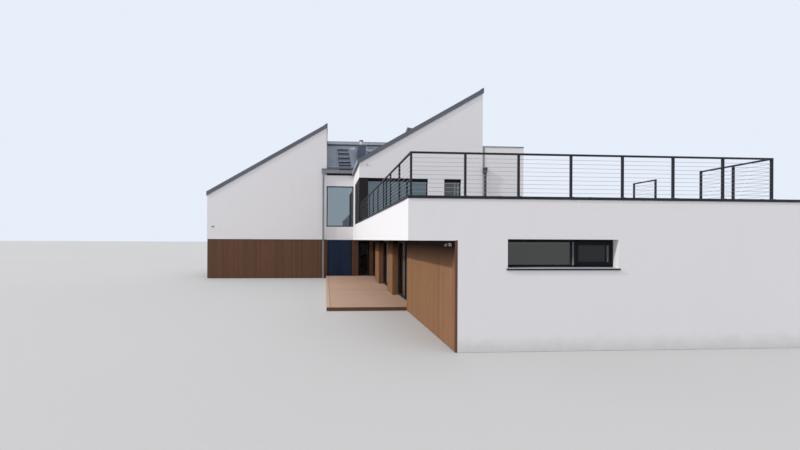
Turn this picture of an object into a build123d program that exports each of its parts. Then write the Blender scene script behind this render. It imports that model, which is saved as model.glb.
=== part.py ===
"""Detached house: two mono-pitch blocks, a gabled link between them, and a long wing with a roof terrace.

Sizes are in millimetres. In the lists below x runs sideways from the left block's high wall, y runs back
from the wing's front wall and z runs up from the foot of the walls. At the end everything is moved so that
the origin is at the middle of the whole house's plan, on the ground.
"""
import os
from math import radians, tan

from build123d import *

# Levels
FLOOR_Z = 160            # finished ground floor and top of the terrace deck
SOFFIT_Z = 2730          # underside of the wing's overhang
UPPER_FLOOR_Z = 3560     # finished upper floor and roof terrace
PARAPET_Z = 3745         # top of the rendered parapets
COPING_HEIGHT = 65
UPPER_SLAB = 300
CLADDING_TOP_Z = 2750    # where the render starts over the boards of the left block

# Plan, sideways
LEFT_BLOCK = 8310
LINK = 1920
RIGHT_BLOCK = 7510
ANNEX = 2570
TERRACE_WALL_X = 3080    # boarded face of the ground floor under the overhang
WING_RIGHT_X = 13330

# Plan, front to back
RIGHT_BLOCK_Y = 13400    # front of the right block
MAIN_Y = 17900           # front of the left block and the link
MAIN_DEPTH = 10000
ANNEX_Y = 13425
WING_BACK_Y = 21000

WALL = 400
CLADDING = 60
BOARD_JOINT = 1          # between two runs of boards at a corner
RENDER_LIP = 20          # render stands this far in front of the boards

# Roofs: height of the underside at the low wall, pitch and thickness measured upright
LEFT_EAVE_Z = 5790
LEFT_PITCH = 30.4
RIGHT_EAVE_Z = 7290
RIGHT_PITCH = 30.1
LINK_EAVE_Z = 7600
LINK_PITCH = 30.0
ROOF = 275
VERGE = 40               # roof edge past the gable walls
EAVE = 110               # right block's roof edge past its low wall
LEFT_OVERHANG = 40       # the same on the left block
RIDGE_CAP = (200, 150)   # reach to each side of the link's ridge, and height over the roof
ANNEX_TOP_Z = 8390
ANNEX_ROOF = 300

# Windows: frames are recessed from the wall's outer face
RECESS = 185
FRAME = 60
FRAME_DEPTH = 80
GLASS = 24
LINK_WINDOW_Z = (3650, 6530)
HEAD_Z = 6430            # head of the right block's glazing
BAND_END_X = 6080        # right end of the glazed band
TERRACE_DOOR_X = (7070, 8120)
CORNER_PANEL_X = 2460    # right end of the dark corner panel
CORNER_PANEL_Y = 16500   # back end of the dark corner panel
CORNER_PANEL = 120
WING_WINDOW_X = (4390, 7235)
WING_WINDOW_Z = (2050, 2760)
WING_MULLION_X = 6190
BACK_WINDOW_WIDTH = 1900
BACK_WINDOW_UPPER_Z = (4500, 6400)
BACK_WINDOW_LOWER_Z = (1100, 2500)
BACK_WINDOW_X = (-6900, -3700, 3200, 6200)
SILL_DEPTH = 40
SILL_HEIGHT = 50
SILL_END = 30            # the front sill past each side of its window

# Terrace side: three glazed bays with one sliding leaf each
BAY = 3120
BAY_Y = (5480, 10000, MAIN_Y - BAY)
BAY_NAMES = ("front", "middle", "rear")
REVEAL = 250             # outer face of the boards to the glazing frame
TRACK_FRAME = 150        # depth of the glazing frame with its two tracks
JAMB = 60
THRESHOLD = 30
LEAF = 60                # thickness of a glazed leaf
LEAF_RAIL = 70           # width of its stiles and rails
LEAF_OVERLAP = 60
LEAF_GAP = 6             # running clearance round a sliding leaf
RAIL_WIDTH = 10
SEAT = 0.3               # clearance between a runner or hinge and what it carries

# Back of the covered terrace
REAR_RECESS = 60
SHUTTER_X = (80, 1830)
SHUTTER = 60
REAR_PIER_X = (1830, 2290)
DOOR_JAMB = 40
DOOR_FRAME_DEPTH = 90
DOOR_LEAF = 70
DOOR_GAP_FREE = 12
DOOR_GAP_HINGE = 6
DOOR_GAP_FLOOR = 15
DOOR_GAP_HEAD = 10
HINGE_R = 9
HINGE_LEAF_WIDTH = 38
HINGE_HEIGHT = 40
HINGE_Z = (450, 1400, 2300)

# Deck under and beside the overhang
DECK_X = -10
DECK_BOARD = 30
BEARER = 60
BEARERS = 6

# Railings
POST = 50
RAIL_TOP = 1075          # top of the handrail over the coping
HANDRAIL = 45
ROD = 10
RODS = 9
RAIL_INSET = 80          # middle of the posts behind the outer face
FRONT_BAYS = 7
FRONT_BAY = 1347
SIDE_BAYS = 9
SIDE_BAY = 1450
RETURN_BAY = 920
RETURN_BAYS = 2
RETURN_GAP = 1600        # way through between the two parts of the return

# Rainwater goods and roof outlets
GUTTER_DEPTH = 150
GUTTER_HEIGHT = 320
GUTTER_WALL = 12
GUTTER_DROP = 125        # top of the gutter below the top of the roof's edge
FASCIA_HEIGHT = 575
GUTTER_OVERRUN = 350     # how far the link's gutter runs in front of the left block
PIPE = 120
PIPE_STANDOFF = 50
HOPPER = 200
HOPPER_HEIGHT = 340
HOPPER_TOP_Z = 7120
HOPPER_OFFSET = 35       # from the right block's corner
COWL_X = 5850
COWL_Y = 19000
COWL = 620
COWL_RISE = 900
CHIMNEY_X = (2334, 3020)
CHIMNEY_BACK = 2000      # front face behind the front of the link; the flat top runs into the slope
CHIMNEY_TOP_Z = 9980
VENT_R = 70
VENT_RISE = 410
VENT_CAP = (160, 90)     # radius and height
ROOF_WINDOW = (680, 1000)    # width, and length seen from above
ROOF_WINDOW_X = (3270, 4010)
ROOF_WINDOW_BACK = 3150  # lower ends behind the front of the link
ROOF_WINDOW_RISE = 80
COPING_LIP = 20
COPING_JOINT = 2

EXTENT = 60000           # larger than the house, for cutting planes
BACK_Y = MAIN_Y + MAIN_DEPTH
RIGHT_X = LINK + RIGHT_BLOCK
ANNEX_X = RIGHT_X + ANNEX
GLAZING_X = TERRACE_WALL_X + REVEAL
COPING_TOP_Z = PARAPET_Z + COPING_HEIGHT
GUTTER_Y = MAIN_Y - GUTTER_WALL - GUTTER_DEPTH
CHIMNEY_Y = MAIN_Y + CHIMNEY_BACK
ROOF_WINDOW_Y = MAIN_Y + ROOF_WINDOW_BACK


def block(x, y, z):
    """Box between pairs of x, y and z."""
    size = (x[1] - x[0], y[1] - y[0], z[1] - z[0])
    return Pos(x[0], y[0], z[0]) * Box(*size, align=(Align.MIN, Align.MIN, Align.MIN))


def prism_along_y(outline, y):
    """Solid with an x-z outline, between two values of y."""
    face = make_face(Polyline(*[(px, y[0], pz) for px, pz in outline], close=True))
    return extrude(face, y[1] - y[0], dir=(0, 1, 0))


def prism_along_x(outline, x):
    """Solid with a y-z outline, between two values of x."""
    face = make_face(Polyline(*[(x[0], py, pz) for py, pz in outline], close=True))
    return extrude(face, x[1] - x[0], dir=(1, 0, 0))


def prism_up(outline, z):
    """Solid with an x-y outline, between two values of z."""
    face = make_face(Polyline(*[(px, py, z[0]) for px, py in outline], close=True))
    return extrude(face, z[1] - z[0], dir=(0, 0, 1))


def left_underside(x):
    return LEFT_EAVE_Z + (x + LEFT_BLOCK) * tan(radians(LEFT_PITCH))


def right_underside(x):
    return RIGHT_EAVE_Z + (x - LINK) * tan(radians(RIGHT_PITCH))


def link_underside(y):
    distance = min(y - MAIN_Y, BACK_Y - y)
    return LINK_EAVE_Z + distance * tan(radians(LINK_PITCH))


def below_left_roof():
    low, high = -LEFT_BLOCK - EXTENT, EXTENT
    outline = [(low, -EXTENT), (high, -EXTENT), (high, left_underside(high)), (low, left_underside(low))]
    return prism_along_y(outline, (-EXTENT, EXTENT))


def below_right_roof(raised=0):
    low, high = LINK, EXTENT
    outline = [(low, -EXTENT), (high, -EXTENT), (high, right_underside(high) + raised),
               (low, right_underside(low) + raised)]
    return prism_along_y(outline, (-EXTENT, EXTENT))


def pane_frame(x, y, z, mullions=()):
    """Window frame in an x-z opening: a ring with upright bars."""
    ring = block(x, y, z) - block((x[0] + FRAME, x[1] - FRAME), y, (z[0] + FRAME, z[1] - FRAME))
    for middle in mullions:
        ring += block((middle - FRAME / 2, middle + FRAME / 2), y, (z[0] + FRAME, z[1] - FRAME))
    return ring


def panes(x, y, z, mullions=()):
    """The glass that fills such a frame, one sheet between each pair of bars."""
    middle_y = (y[0] + y[1]) / 2
    sheet_y = (middle_y - GLASS / 2, middle_y + GLASS / 2)
    bars = [x[0] + FRAME / 2, *mullions, x[1] - FRAME / 2]
    return [
        block((left + FRAME / 2, right - FRAME / 2), sheet_y, (z[0] + FRAME, z[1] - FRAME))
        for left, right in zip(bars, bars[1:])
    ]


def glazed_leaf(x, y, z):
    """A leaf whose face looks along x: stiles and rails round a thinner sheet of glass."""
    inner_y = (y[0] + LEAF_RAIL, y[1] - LEAF_RAIL)
    inner_z = (z[0] + LEAF_RAIL, z[1] - LEAF_RAIL)
    middle_x = (x[0] + x[1]) / 2
    glass = block((middle_x - GLASS / 2, middle_x + GLASS / 2), inner_y, inner_z)
    return block(x, y, z) - block(x, inner_y, inner_z) + glass


# Left block
left_x = (-LEFT_BLOCK, 0)
main_front_y = (MAIN_Y, MAIN_Y + WALL)
main_inner_y = (MAIN_Y + WALL, BACK_Y - WALL)
main_back_y = (BACK_Y - WALL, BACK_Y)
board_back = RENDER_LIP + CLADDING


def board_recess():
    """Band round three sides of the lower storey that the walls leave free for the boards."""
    z = (0, CLADDING_TOP_Z)
    inner = block((-LEFT_BLOCK + board_back, 0), (MAIN_Y + board_back, BACK_Y - board_back), z)
    return block(left_x, (MAIN_Y, BACK_Y), z) - inner


def left_wall_front():
    """Gable wall: the lower storey stands back by the boards and the render's lip."""
    return (block(left_x, main_front_y, (0, EXTENT)) & below_left_roof()) - board_recess()


def back_window_openings(x_limits):
    openings = []
    for x in BACK_WINDOW_X:
        if x_limits[0] < x < x_limits[1]:
            for z in (BACK_WINDOW_UPPER_Z, BACK_WINDOW_LOWER_Z):
                openings.append(((x, x + BACK_WINDOW_WIDTH), z))
    return openings


def left_wall_back():
    wall = (block(left_x, main_back_y, (0, EXTENT)) & below_left_roof()) - board_recess()
    for x, z in back_window_openings(left_x):
        wall -= block(x, main_back_y, z)
    return wall


def left_wall_side():
    wall = block((-LEFT_BLOCK, -LEFT_BLOCK + WALL), main_inner_y, (0, EXTENT)) & below_left_roof()
    return wall - board_recess()


def left_cladding():
    """Boarding round the left block's lower storey, in three runs with the corners mitred by butting."""
    front_y = (MAIN_Y + RENDER_LIP, MAIN_Y + board_back)
    back_y = (BACK_Y - board_back, BACK_Y - RENDER_LIP)
    side_x = (-LEFT_BLOCK + RENDER_LIP, -LEFT_BLOCK + board_back)
    front = block((side_x[0], -PIPE - PIPE_STANDOFF), front_y, (0, CLADDING_TOP_Z))
    back = block((side_x[0], 0), back_y, (0, CLADDING_TOP_Z))
    for x, z in back_window_openings(left_x):
        if z == BACK_WINDOW_LOWER_Z:
            back -= block(x, back_y, z)
    side = block(side_x, (front_y[1] + BOARD_JOINT, back_y[0] - BOARD_JOINT), (0, CLADDING_TOP_Z))
    return [front, side, back]


def left_high_wall():
    """Upper wall on the block's tall side, over the link's roof. The rooms join below it."""
    return block((-WALL, 0), main_inner_y, (HEAD_Z + WALL, EXTENT)) & below_left_roof()


def mono_roof(x, y, underside, pitch, low_overhang):
    """Sloping slab that rises to the right, with square-cut ends past the walls."""
    low, high = x[0] - low_overhang, x[1] + VERGE
    slope = tan(radians(pitch))
    low_z, high_z = underside - low_overhang * slope, underside + (high - x[0]) * slope
    outline = [(low, low_z), (high, high_z), (high, high_z + ROOF), (low, low_z + ROOF)]
    return prism_along_y(outline, y)


def left_roof():
    return mono_roof(left_x, (MAIN_Y - VERGE, BACK_Y + VERGE), LEFT_EAVE_Z, LEFT_PITCH, LEFT_OVERHANG)


# Link between the blocks
link_x = (0, LINK)


def link_front_wall():
    """Spandrel below and lintel above a window as wide as the link."""
    spandrel = block(link_x, main_front_y, (SOFFIT_Z, LINK_WINDOW_Z[0]))
    lintel = block(link_x, main_front_y, (LINK_WINDOW_Z[1], EXTENT)) & below_link_roof()
    return [spandrel, lintel]


def below_link_roof():
    outline = [(MAIN_Y - EAVE, -EXTENT), (BACK_Y + EAVE, -EXTENT),
               (BACK_Y + EAVE, link_underside(BACK_Y + EAVE)),
               (MAIN_Y + MAIN_DEPTH / 2, link_underside(MAIN_Y + MAIN_DEPTH / 2)),
               (MAIN_Y - EAVE, link_underside(MAIN_Y - EAVE))]
    return prism_along_x(outline, (-EXTENT, EXTENT))


def link_back_wall():
    return block(link_x, main_back_y, (0, EXTENT)) & below_link_roof()


def link_roof_half(front):
    """One slope of the link's gable roof, cut to sit on the right block's roof."""
    ridge_y = MAIN_Y + MAIN_DEPTH / 2
    eave_y = MAIN_Y if front else BACK_Y
    eave_z, ridge_z = link_underside(eave_y), link_underside(ridge_y)
    outline = [(eave_y, eave_z), (ridge_y, ridge_z), (ridge_y, ridge_z + ROOF), (eave_y, eave_z + ROOF)]
    return prism_along_x(outline, (0, RIGHT_X)) - below_right_roof(ROOF) - left_roof()


def link_ridge():
    """Raised cap along the ridge of the link's roof."""
    reach, rise = RIDGE_CAP
    ridge_y = MAIN_Y + MAIN_DEPTH / 2
    edge_z, ridge_z = link_underside(ridge_y - reach) + ROOF, link_underside(ridge_y) + ROOF
    outline = [(ridge_y - reach, edge_z), (ridge_y, ridge_z), (ridge_y + reach, edge_z),
               (ridge_y + reach, edge_z + rise), (ridge_y, ridge_z + rise), (ridge_y - reach, edge_z + rise)]
    return prism_along_x(outline, (0, RIGHT_X)) - below_right_roof(ROOF) - left_roof()


# Right block
right_x = (LINK, RIGHT_X)
side_wall_x = (LINK, LINK + WALL)
right_front_y = (RIGHT_BLOCK_Y, RIGHT_BLOCK_Y + WALL)
high_wall_x = (RIGHT_X - WALL, RIGHT_X)


def right_front_wall():
    """Gable wall with a glazed band that turns the corner, and a tall narrow terrace window."""
    wall = block(right_x, right_front_y, (UPPER_FLOOR_Z, EXTENT)) & below_right_roof()
    wall -= block((LINK, BAND_END_X), right_front_y, (UPPER_FLOOR_Z, HEAD_Z))
    return wall - block(TERRACE_DOOR_X, right_front_y, (UPPER_FLOOR_Z, HEAD_Z))


def right_side_wall():
    back_y = MAIN_Y + WALL
    outline = [(right_front_y[1], HEAD_Z), (CORNER_PANEL_Y, HEAD_Z), (CORNER_PANEL_Y, PARAPET_Z),
               (MAIN_Y, PARAPET_Z), (MAIN_Y, UPPER_FLOOR_Z), (back_y, UPPER_FLOOR_Z),
               (back_y, EXTENT), (right_front_y[1], EXTENT)]
    return prism_along_x(outline, side_wall_x) & below_right_roof()


def corner_panel():
    """Dark panel that wraps the front left corner of the upper storey."""
    outline = [(LINK, RIGHT_BLOCK_Y), (CORNER_PANEL_X, RIGHT_BLOCK_Y),
               (CORNER_PANEL_X, RIGHT_BLOCK_Y + CORNER_PANEL), (LINK + CORNER_PANEL, RIGHT_BLOCK_Y + CORNER_PANEL),
               (LINK + CORNER_PANEL, CORNER_PANEL_Y), (LINK, CORNER_PANEL_Y)]
    return prism_up(outline, (PARAPET_Z, HEAD_Z))


def right_high_wall():
    y = (right_front_y[1], main_back_y[0])
    return block(high_wall_x, y, (UPPER_FLOOR_Z, EXTENT)) & below_right_roof()


def right_lower_wall():
    return block(high_wall_x, (WING_BACK_Y - WALL, main_back_y[0]), (0, UPPER_FLOOR_Z))


def right_back_wall():
    wall = block(right_x, main_back_y, (0, EXTENT)) & below_right_roof()
    for x, z in back_window_openings(right_x):
        wall -= block(x, main_back_y, z)
    return wall


def right_roof():
    y = (RIGHT_BLOCK_Y - VERGE, BACK_Y + VERGE)
    roof = mono_roof(right_x, y, RIGHT_EAVE_Z, RIGHT_PITCH, EAVE)
    return roof - block((LINK - EAVE, LINK), (GUTTER_Y, BACK_Y + VERGE), (0, EXTENT))


def eave_beam():
    """Beam under the right block's low edge where it passes over the open rooms."""
    y = (MAIN_Y + WALL, main_back_y[0])
    return block((LINK, LINK + WALL / 2), y, (HEAD_Z + WALL, EXTENT)) & below_right_roof()


# Annex with a flat roof
def annex_front_wall():
    return block((RIGHT_X, ANNEX_X), (ANNEX_Y, ANNEX_Y + WALL), (UPPER_FLOOR_Z, ANNEX_TOP_Z))


def annex_side_wall():
    return block((ANNEX_X - WALL, ANNEX_X), (ANNEX_Y + WALL, WING_BACK_Y - WALL), (UPPER_FLOOR_Z, ANNEX_TOP_Z))


def annex_back_wall():
    return block((RIGHT_X, ANNEX_X), (WING_BACK_Y - WALL, WING_BACK_Y), (UPPER_FLOOR_Z, ANNEX_TOP_Z))


def annex_roof():
    top = ANNEX_TOP_Z - COPING_HEIGHT
    return block((RIGHT_X, ANNEX_X - WALL), (ANNEX_Y + WALL, WING_BACK_Y - WALL), (top - ANNEX_ROOF, top))


# Wing with the roof terrace
wing_front_y = (0, WALL)
wing_right_x = (WING_RIGHT_X - WALL, WING_RIGHT_X)
cladding_x = (TERRACE_WALL_X, TERRACE_WALL_X + CLADDING)


def wing_front_wall():
    wall = block((cladding_x[1], WING_RIGHT_X), wing_front_y, (0, PARAPET_Z))
    return wall - block(WING_WINDOW_X, wing_front_y, WING_WINDOW_Z)


def overhang_side_fascia():
    return block(side_wall_x, (0, MAIN_Y), (SOFFIT_Z, PARAPET_Z))


def overhang_front_fascia():
    return block((side_wall_x[1], cladding_x[1]), wing_front_y, (SOFFIT_Z, PARAPET_Z))


def wing_right_wall():
    return block(wing_right_x, (WALL, WING_BACK_Y - WALL), (0, PARAPET_Z))


def wing_back_wall():
    outline = [(RIGHT_X, 0), (WING_RIGHT_X, 0), (WING_RIGHT_X, PARAPET_Z), (ANNEX_X, PARAPET_Z),
               (ANNEX_X, UPPER_FLOOR_Z), (RIGHT_X, UPPER_FLOOR_Z)]
    return prism_along_y(outline, (WING_BACK_Y - WALL, WING_BACK_Y))


def terrace_slab():
    """Roof of the wing: its underside is the overhang's soffit and its top the terrace."""
    right = wing_right_x[0]
    outline = [(side_wall_x[1], WALL), (right, WALL), (right, MAIN_Y + WALL), (LINK, MAIN_Y + WALL),
               (LINK, MAIN_Y), (side_wall_x[1], MAIN_Y)]
    return prism_up(outline, (SOFFIT_Z, UPPER_FLOOR_Z))


upper_floor_z = (UPPER_FLOOR_Z - UPPER_SLAB, UPPER_FLOOR_Z)


def upper_floor():
    return block((-LEFT_BLOCK + WALL, high_wall_x[0]), main_inner_y, upper_floor_z)


def annex_floor():
    return block((high_wall_x[0], wing_right_x[0]), (MAIN_Y + WALL, WING_BACK_Y - WALL), upper_floor_z)


def ground_floor():
    """Floor plate inside the main walls, run forward to the shutter's opening."""
    plate = block((-LEFT_BLOCK + WALL, high_wall_x[0]), main_inner_y, (0, FLOOR_Z))
    return plate + block(SHUTTER_X, (rear_y + RENDER_LIP + SHUTTER, main_inner_y[0]), (0, FLOOR_Z))


def wing_floor():
    """Floor plate of the wing, and of the rooms behind it under the annex."""
    front = block((GLAZING_X + TRACK_FRAME, wing_right_x[0]), (WALL, main_inner_y[0]), (0, FLOOR_Z))
    rear = block((high_wall_x[0], wing_right_x[0]), (main_inner_y[0], WING_BACK_Y - WALL), (0, FLOOR_Z))
    return front + rear


# Boarded ground floor wall under the overhang
rear_y = MAIN_Y + REAR_RECESS


def pier_spans():
    """The y ranges of the walls between the glazed bays."""
    edges = [0, *[edge for start in BAY_Y for edge in (start, start + BAY)]]
    return [(edges[i], edges[i + 1]) for i in range(0, len(edges) - 1, 2)]


def terrace_wall():
    """Masonry behind the boards: one pier between each pair of bays."""
    core_x = (cladding_x[1], GLAZING_X + TRACK_FRAME)
    piers = []
    for start, end in pier_spans():
        front = WALL if start == 0 else start + CLADDING
        piers.append(block(core_x, (front, end - CLADDING), (0, SOFFIT_Z)))
    return piers


def terrace_cladding():
    """Boards over each pier, turned into the reveals of the bays."""
    z = (0, SOFFIT_Z)
    skins = []
    for start, end in pier_spans():
        skin = block(cladding_x, (start, end), z)
        skin += block((cladding_x[1], GLAZING_X + TRACK_FRAME), (end - CLADDING, end), z)
        if start > 0:
            skin += block((cladding_x[1], GLAZING_X + TRACK_FRAME), (start, start + CLADDING), z)
        skins.append(skin)
    return skins


# Glazed bays: the near leaf slides behind the far one
track_x = (GLAZING_X, GLAZING_X + TRACK_FRAME)
opening_z = (FLOOR_Z + THRESHOLD, SOFFIT_Z - JAMB)
fixed_leaf_x = (GLAZING_X + LEAF_GAP, GLAZING_X + LEAF_GAP + LEAF)
sliding_leaf_x = (fixed_leaf_x[1] + LEAF_GAP, fixed_leaf_x[1] + LEAF_GAP + LEAF)
leaf_length = (BAY - 2 * JAMB + LEAF_OVERLAP) / 2
SLIDE_TRAVEL = BAY - 2 * JAMB - leaf_length - 2 * LEAF_GAP


def bay_frames():
    """Jambs, head and threshold of each bay, as separate bars with the runner on the threshold."""
    bars = []
    for start in BAY_Y:
        end = start + BAY
        bars.append(block(track_x, (start, start + JAMB), (FLOOR_Z, SOFFIT_Z)))
        bars.append(block(track_x, (end - JAMB, end), (FLOOR_Z, SOFFIT_Z)))
        inner = (start + JAMB + SEAT, end - JAMB - SEAT)
        bars.append(block(track_x, inner, (opening_z[1], SOFFIT_Z)))
        threshold = block(track_x, inner, (0, opening_z[0]))
        middle = (sliding_leaf_x[0] + sliding_leaf_x[1]) / 2
        runner_x = (middle - RAIL_WIDTH / 2, middle + RAIL_WIDTH / 2)
        threshold += block(runner_x, inner, (opening_z[0], opening_z[0] + LEAF_GAP - SEAT))
        bars.append(threshold)
    return bars


def fixed_leaves():
    leaves = []
    for start in BAY_Y:
        end = start + BAY - JAMB
        leaves.append(glazed_leaf(fixed_leaf_x, (end - leaf_length, end), opening_z))
    return leaves


def sliding_leaf(start):
    low = start + JAMB + LEAF_GAP
    z = (opening_z[0] + LEAF_GAP, opening_z[1] - LEAF_GAP)
    return glazed_leaf(sliding_leaf_x, (low, low + leaf_length), z)


# Back of the covered terrace
door_opening_x = (REAR_PIER_X[1] + DOOR_JAMB, TERRACE_WALL_X - DOOR_JAMB)
door_leaf_x = (door_opening_x[0] + DOOR_GAP_FREE, door_opening_x[1] - DOOR_GAP_HINGE)
door_leaf_y = (rear_y + DOOR_FRAME_DEPTH - DOOR_LEAF, rear_y + DOOR_FRAME_DEPTH)
door_leaf_z = (FLOOR_Z + DOOR_GAP_FLOOR, SOFFIT_Z - DOOR_JAMB - DOOR_GAP_HEAD)
HINGE_AXIS = (door_opening_x[1] - DOOR_GAP_HINGE / 2, door_leaf_y[1] + HINGE_R + 2)


def rear_piers():
    """Boarded walls either side of the shutter, and the corner that closes the rear bay."""
    y, z = (rear_y, MAIN_Y + WALL), (0, SOFFIT_Z)
    corner = block((TERRACE_WALL_X, GLAZING_X + TRACK_FRAME), (MAIN_Y, MAIN_Y + WALL), z)
    return [block((0, SHUTTER_X[0]), y, z), block(REAR_PIER_X, y, z), corner]


def rear_shutter():
    """Closed shutter: a curtain between the piers with a box section along its foot."""
    y = (rear_y + RENDER_LIP, rear_y + RENDER_LIP + SHUTTER)
    return block(SHUTTER_X, y, (0, SOFFIT_Z))


def door_hinge_half(side, z):
    """Knuckle and plate of a butt hinge; side is -1 on the leaf and 1 on the jamb."""
    x, y = HINGE_AXIS
    knuckle = Pos(x, y, z) * Cylinder(HINGE_R, HINGE_HEIGHT, align=(Align.CENTER, Align.CENTER, Align.MIN))
    plate_x = sorted((x, x + side * HINGE_LEAF_WIDTH))
    return knuckle + block(plate_x, (door_leaf_y[1], y), (z, z + HINGE_HEIGHT))


def rear_door_frame():
    """Two jambs and a head; the hinge jamb carries the lower hinge halves."""
    y = (rear_y, rear_y + DOOR_FRAME_DEPTH)
    free = block((REAR_PIER_X[1], door_opening_x[0]), y, (0, SOFFIT_Z))
    hinged = block((door_opening_x[1], TERRACE_WALL_X), y, (0, SOFFIT_Z))
    for z in HINGE_Z:
        hinged += door_hinge_half(1, z)
    head_x = (door_opening_x[0] + SEAT, door_opening_x[1] - SEAT)
    head = block(head_x, y, (SOFFIT_Z - DOOR_JAMB, SOFFIT_Z))
    sill = block(head_x, (rear_y, MAIN_Y + WALL), (0, FLOOR_Z))
    return [free, hinged, head, sill]


def rear_door():
    """Glazed leaf with its upper hinge halves."""
    inner_x = (door_leaf_x[0] + LEAF_RAIL, door_leaf_x[1] - LEAF_RAIL)
    inner_z = (door_leaf_z[0] + LEAF_RAIL, door_leaf_z[1] - LEAF_RAIL)
    middle = (door_leaf_y[0] + door_leaf_y[1]) / 2
    leaf = block(door_leaf_x, door_leaf_y, door_leaf_z) - block(inner_x, door_leaf_y, inner_z)
    leaf += block(inner_x, (middle - GLASS / 2, middle + GLASS / 2), inner_z)
    for z in HINGE_Z:
        leaf += door_hinge_half(-1, z + HINGE_HEIGHT + SEAT)
    return leaf


# Windows
link_window_y = (MAIN_Y + RENDER_LIP, MAIN_Y + RENDER_LIP + FRAME_DEPTH)
band_y = (RIGHT_BLOCK_Y + CORNER_PANEL, RIGHT_BLOCK_Y + CORNER_PANEL + FRAME_DEPTH)
wing_window_y = (RECESS, RECESS + FRAME_DEPTH)
back_window_y = (BACK_Y - RECESS - FRAME_DEPTH, BACK_Y - RECESS)


def window_list():
    """Opening, frame place and upright bars of every fixed window."""
    band_x = (side_wall_x[1], BAND_END_X)
    band_bars = [band_x[0] + (band_x[1] - band_x[0]) * i / 3 for i in (1, 2)]
    windows = [
        (link_x, link_window_y, LINK_WINDOW_Z, []),
        (band_x, band_y, (UPPER_FLOOR_Z, HEAD_Z), band_bars),
        (TERRACE_DOOR_X, band_y, (UPPER_FLOOR_Z, HEAD_Z), []),
        (WING_WINDOW_X, wing_window_y, WING_WINDOW_Z, [WING_MULLION_X]),
    ]
    for limits in (left_x, right_x):
        for x, z in back_window_openings(limits):
            windows.append((x, back_window_y, z, [sum(x) / 2]))
    return windows


def window_frames():
    return [pane_frame(x, y, z, bars) for x, y, z, bars in window_list()]


def window_glass():
    return [sheet for x, y, z, bars in window_list() for sheet in panes(x, y, z, bars)]


def window_sills():
    """Sheet metal sills under the wing's window and the back windows."""
    front_x = (WING_WINDOW_X[0] - SILL_END, WING_WINDOW_X[1] + SILL_END)
    sills = [block(front_x, (-SILL_DEPTH, 0), (WING_WINDOW_Z[0] - SILL_HEIGHT, WING_WINDOW_Z[0]))]
    for limits in (left_x, right_x):
        for x, z in back_window_openings(limits):
            on_boards = limits == left_x and z[1] < CLADDING_TOP_Z
            face = BACK_Y - RENDER_LIP if on_boards else BACK_Y
            sills.append(block(x, (face, BACK_Y + SILL_DEPTH), (z[0] - SILL_HEIGHT, z[0])))
    return sills


# Copings and railings
def copings():
    """Metal copings on the parapets and the annex, butted with open joints."""
    z = (PARAPET_Z, COPING_TOP_Z)
    lip, joint = COPING_LIP, COPING_JOINT
    front_y = (-lip, WALL + lip)
    side_x = (LINK - lip, side_wall_x[1] + lip)
    right_side_x = (wing_right_x[0] - lip, WING_RIGHT_X + lip)
    back_start = WING_BACK_Y - WALL - lip
    annex_z = (ANNEX_TOP_Z, ANNEX_TOP_Z + COPING_HEIGHT)
    annex_inner_y = (ANNEX_Y + WALL + lip, WING_BACK_Y - WALL - lip)
    return [
        block((side_x[0], right_side_x[1]), front_y, z),
        block(side_x, (front_y[1] + joint, RIGHT_BLOCK_Y), z),
        block(right_side_x, (front_y[1] + joint, back_start - joint), z),
        block((ANNEX_X + joint, right_side_x[1]), (back_start, WING_BACK_Y + lip), z),
        block((RIGHT_X, ANNEX_X + lip), (ANNEX_Y - lip, annex_inner_y[0] - joint), annex_z),
        block((ANNEX_X - WALL - lip, ANNEX_X + lip), annex_inner_y, annex_z),
        block((RIGHT_X, ANNEX_X + lip), (annex_inner_y[1] + joint, WING_BACK_Y + lip), annex_z),
    ]


def railing(posts, foot_z, start_y=None):
    """Posts, handrail and level rods along a line; from start_y where they leave a corner post."""
    top_z = COPING_TOP_Z + RAIL_TOP
    (x0, y0), (x1, y1) = posts[0], posts[-1]
    half = POST / 2
    rail_y = (y0 - half if start_y is None else start_y, y1 + half)
    rail = block((x0 - half, x1 + half), rail_y, (top_z - HANDRAIL, top_z))
    for x, y in posts:
        rail += block((x - half, x + half), (y - half, y + half), (foot_z, top_z - HANDRAIL))
    spacing = (RAIL_TOP - HANDRAIL) / (RODS + 1)
    along_x = x1 > x0
    for i in range(RODS):
        z = COPING_TOP_Z + spacing * (i + 1)
        rod_x = (x0, x1) if along_x else (x0 - ROD / 2, x0 + ROD / 2)
        rod_y = (y0 - ROD / 2, y0 + ROD / 2) if along_x else (rail_y[0], y1)
        rail += block(rod_x, rod_y, (z - ROD / 2, z + ROD / 2))
    return rail


corner_x = LINK + RAIL_INSET
front_end_x = corner_x + FRONT_BAYS * FRONT_BAY
corner_post_back_y = RAIL_INSET + POST / 2


def front_railing():
    posts = [(corner_x + i * FRONT_BAY, RAIL_INSET) for i in range(FRONT_BAYS + 1)]
    return railing(posts, COPING_TOP_Z)


def side_railing():
    """Railing over the overhang, from the corner post to the right block."""
    posts = [(corner_x, RAIL_INSET + (i + 1) * SIDE_BAY) for i in range(SIDE_BAYS)]
    return railing(posts, COPING_TOP_Z, corner_post_back_y)


def return_railings():
    """Two short rails on the terrace floor with a way through between them."""
    near = [(front_end_x, RAIL_INSET + (i + 1) * RETURN_BAY) for i in range(RETURN_BAYS)]
    far_y = near[-1][1] + RETURN_GAP
    far = [(front_end_x, far_y + i * RETURN_BAY) for i in range(2)]
    return [railing(near, UPPER_FLOOR_Z, corner_post_back_y), railing(far, UPPER_FLOOR_Z)]


# Deck
def deck_boards():
    return block((DECK_X, TERRACE_WALL_X), (BAY_Y[0], MAIN_Y), (FLOOR_Z - DECK_BOARD, FLOOR_Z))


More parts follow.
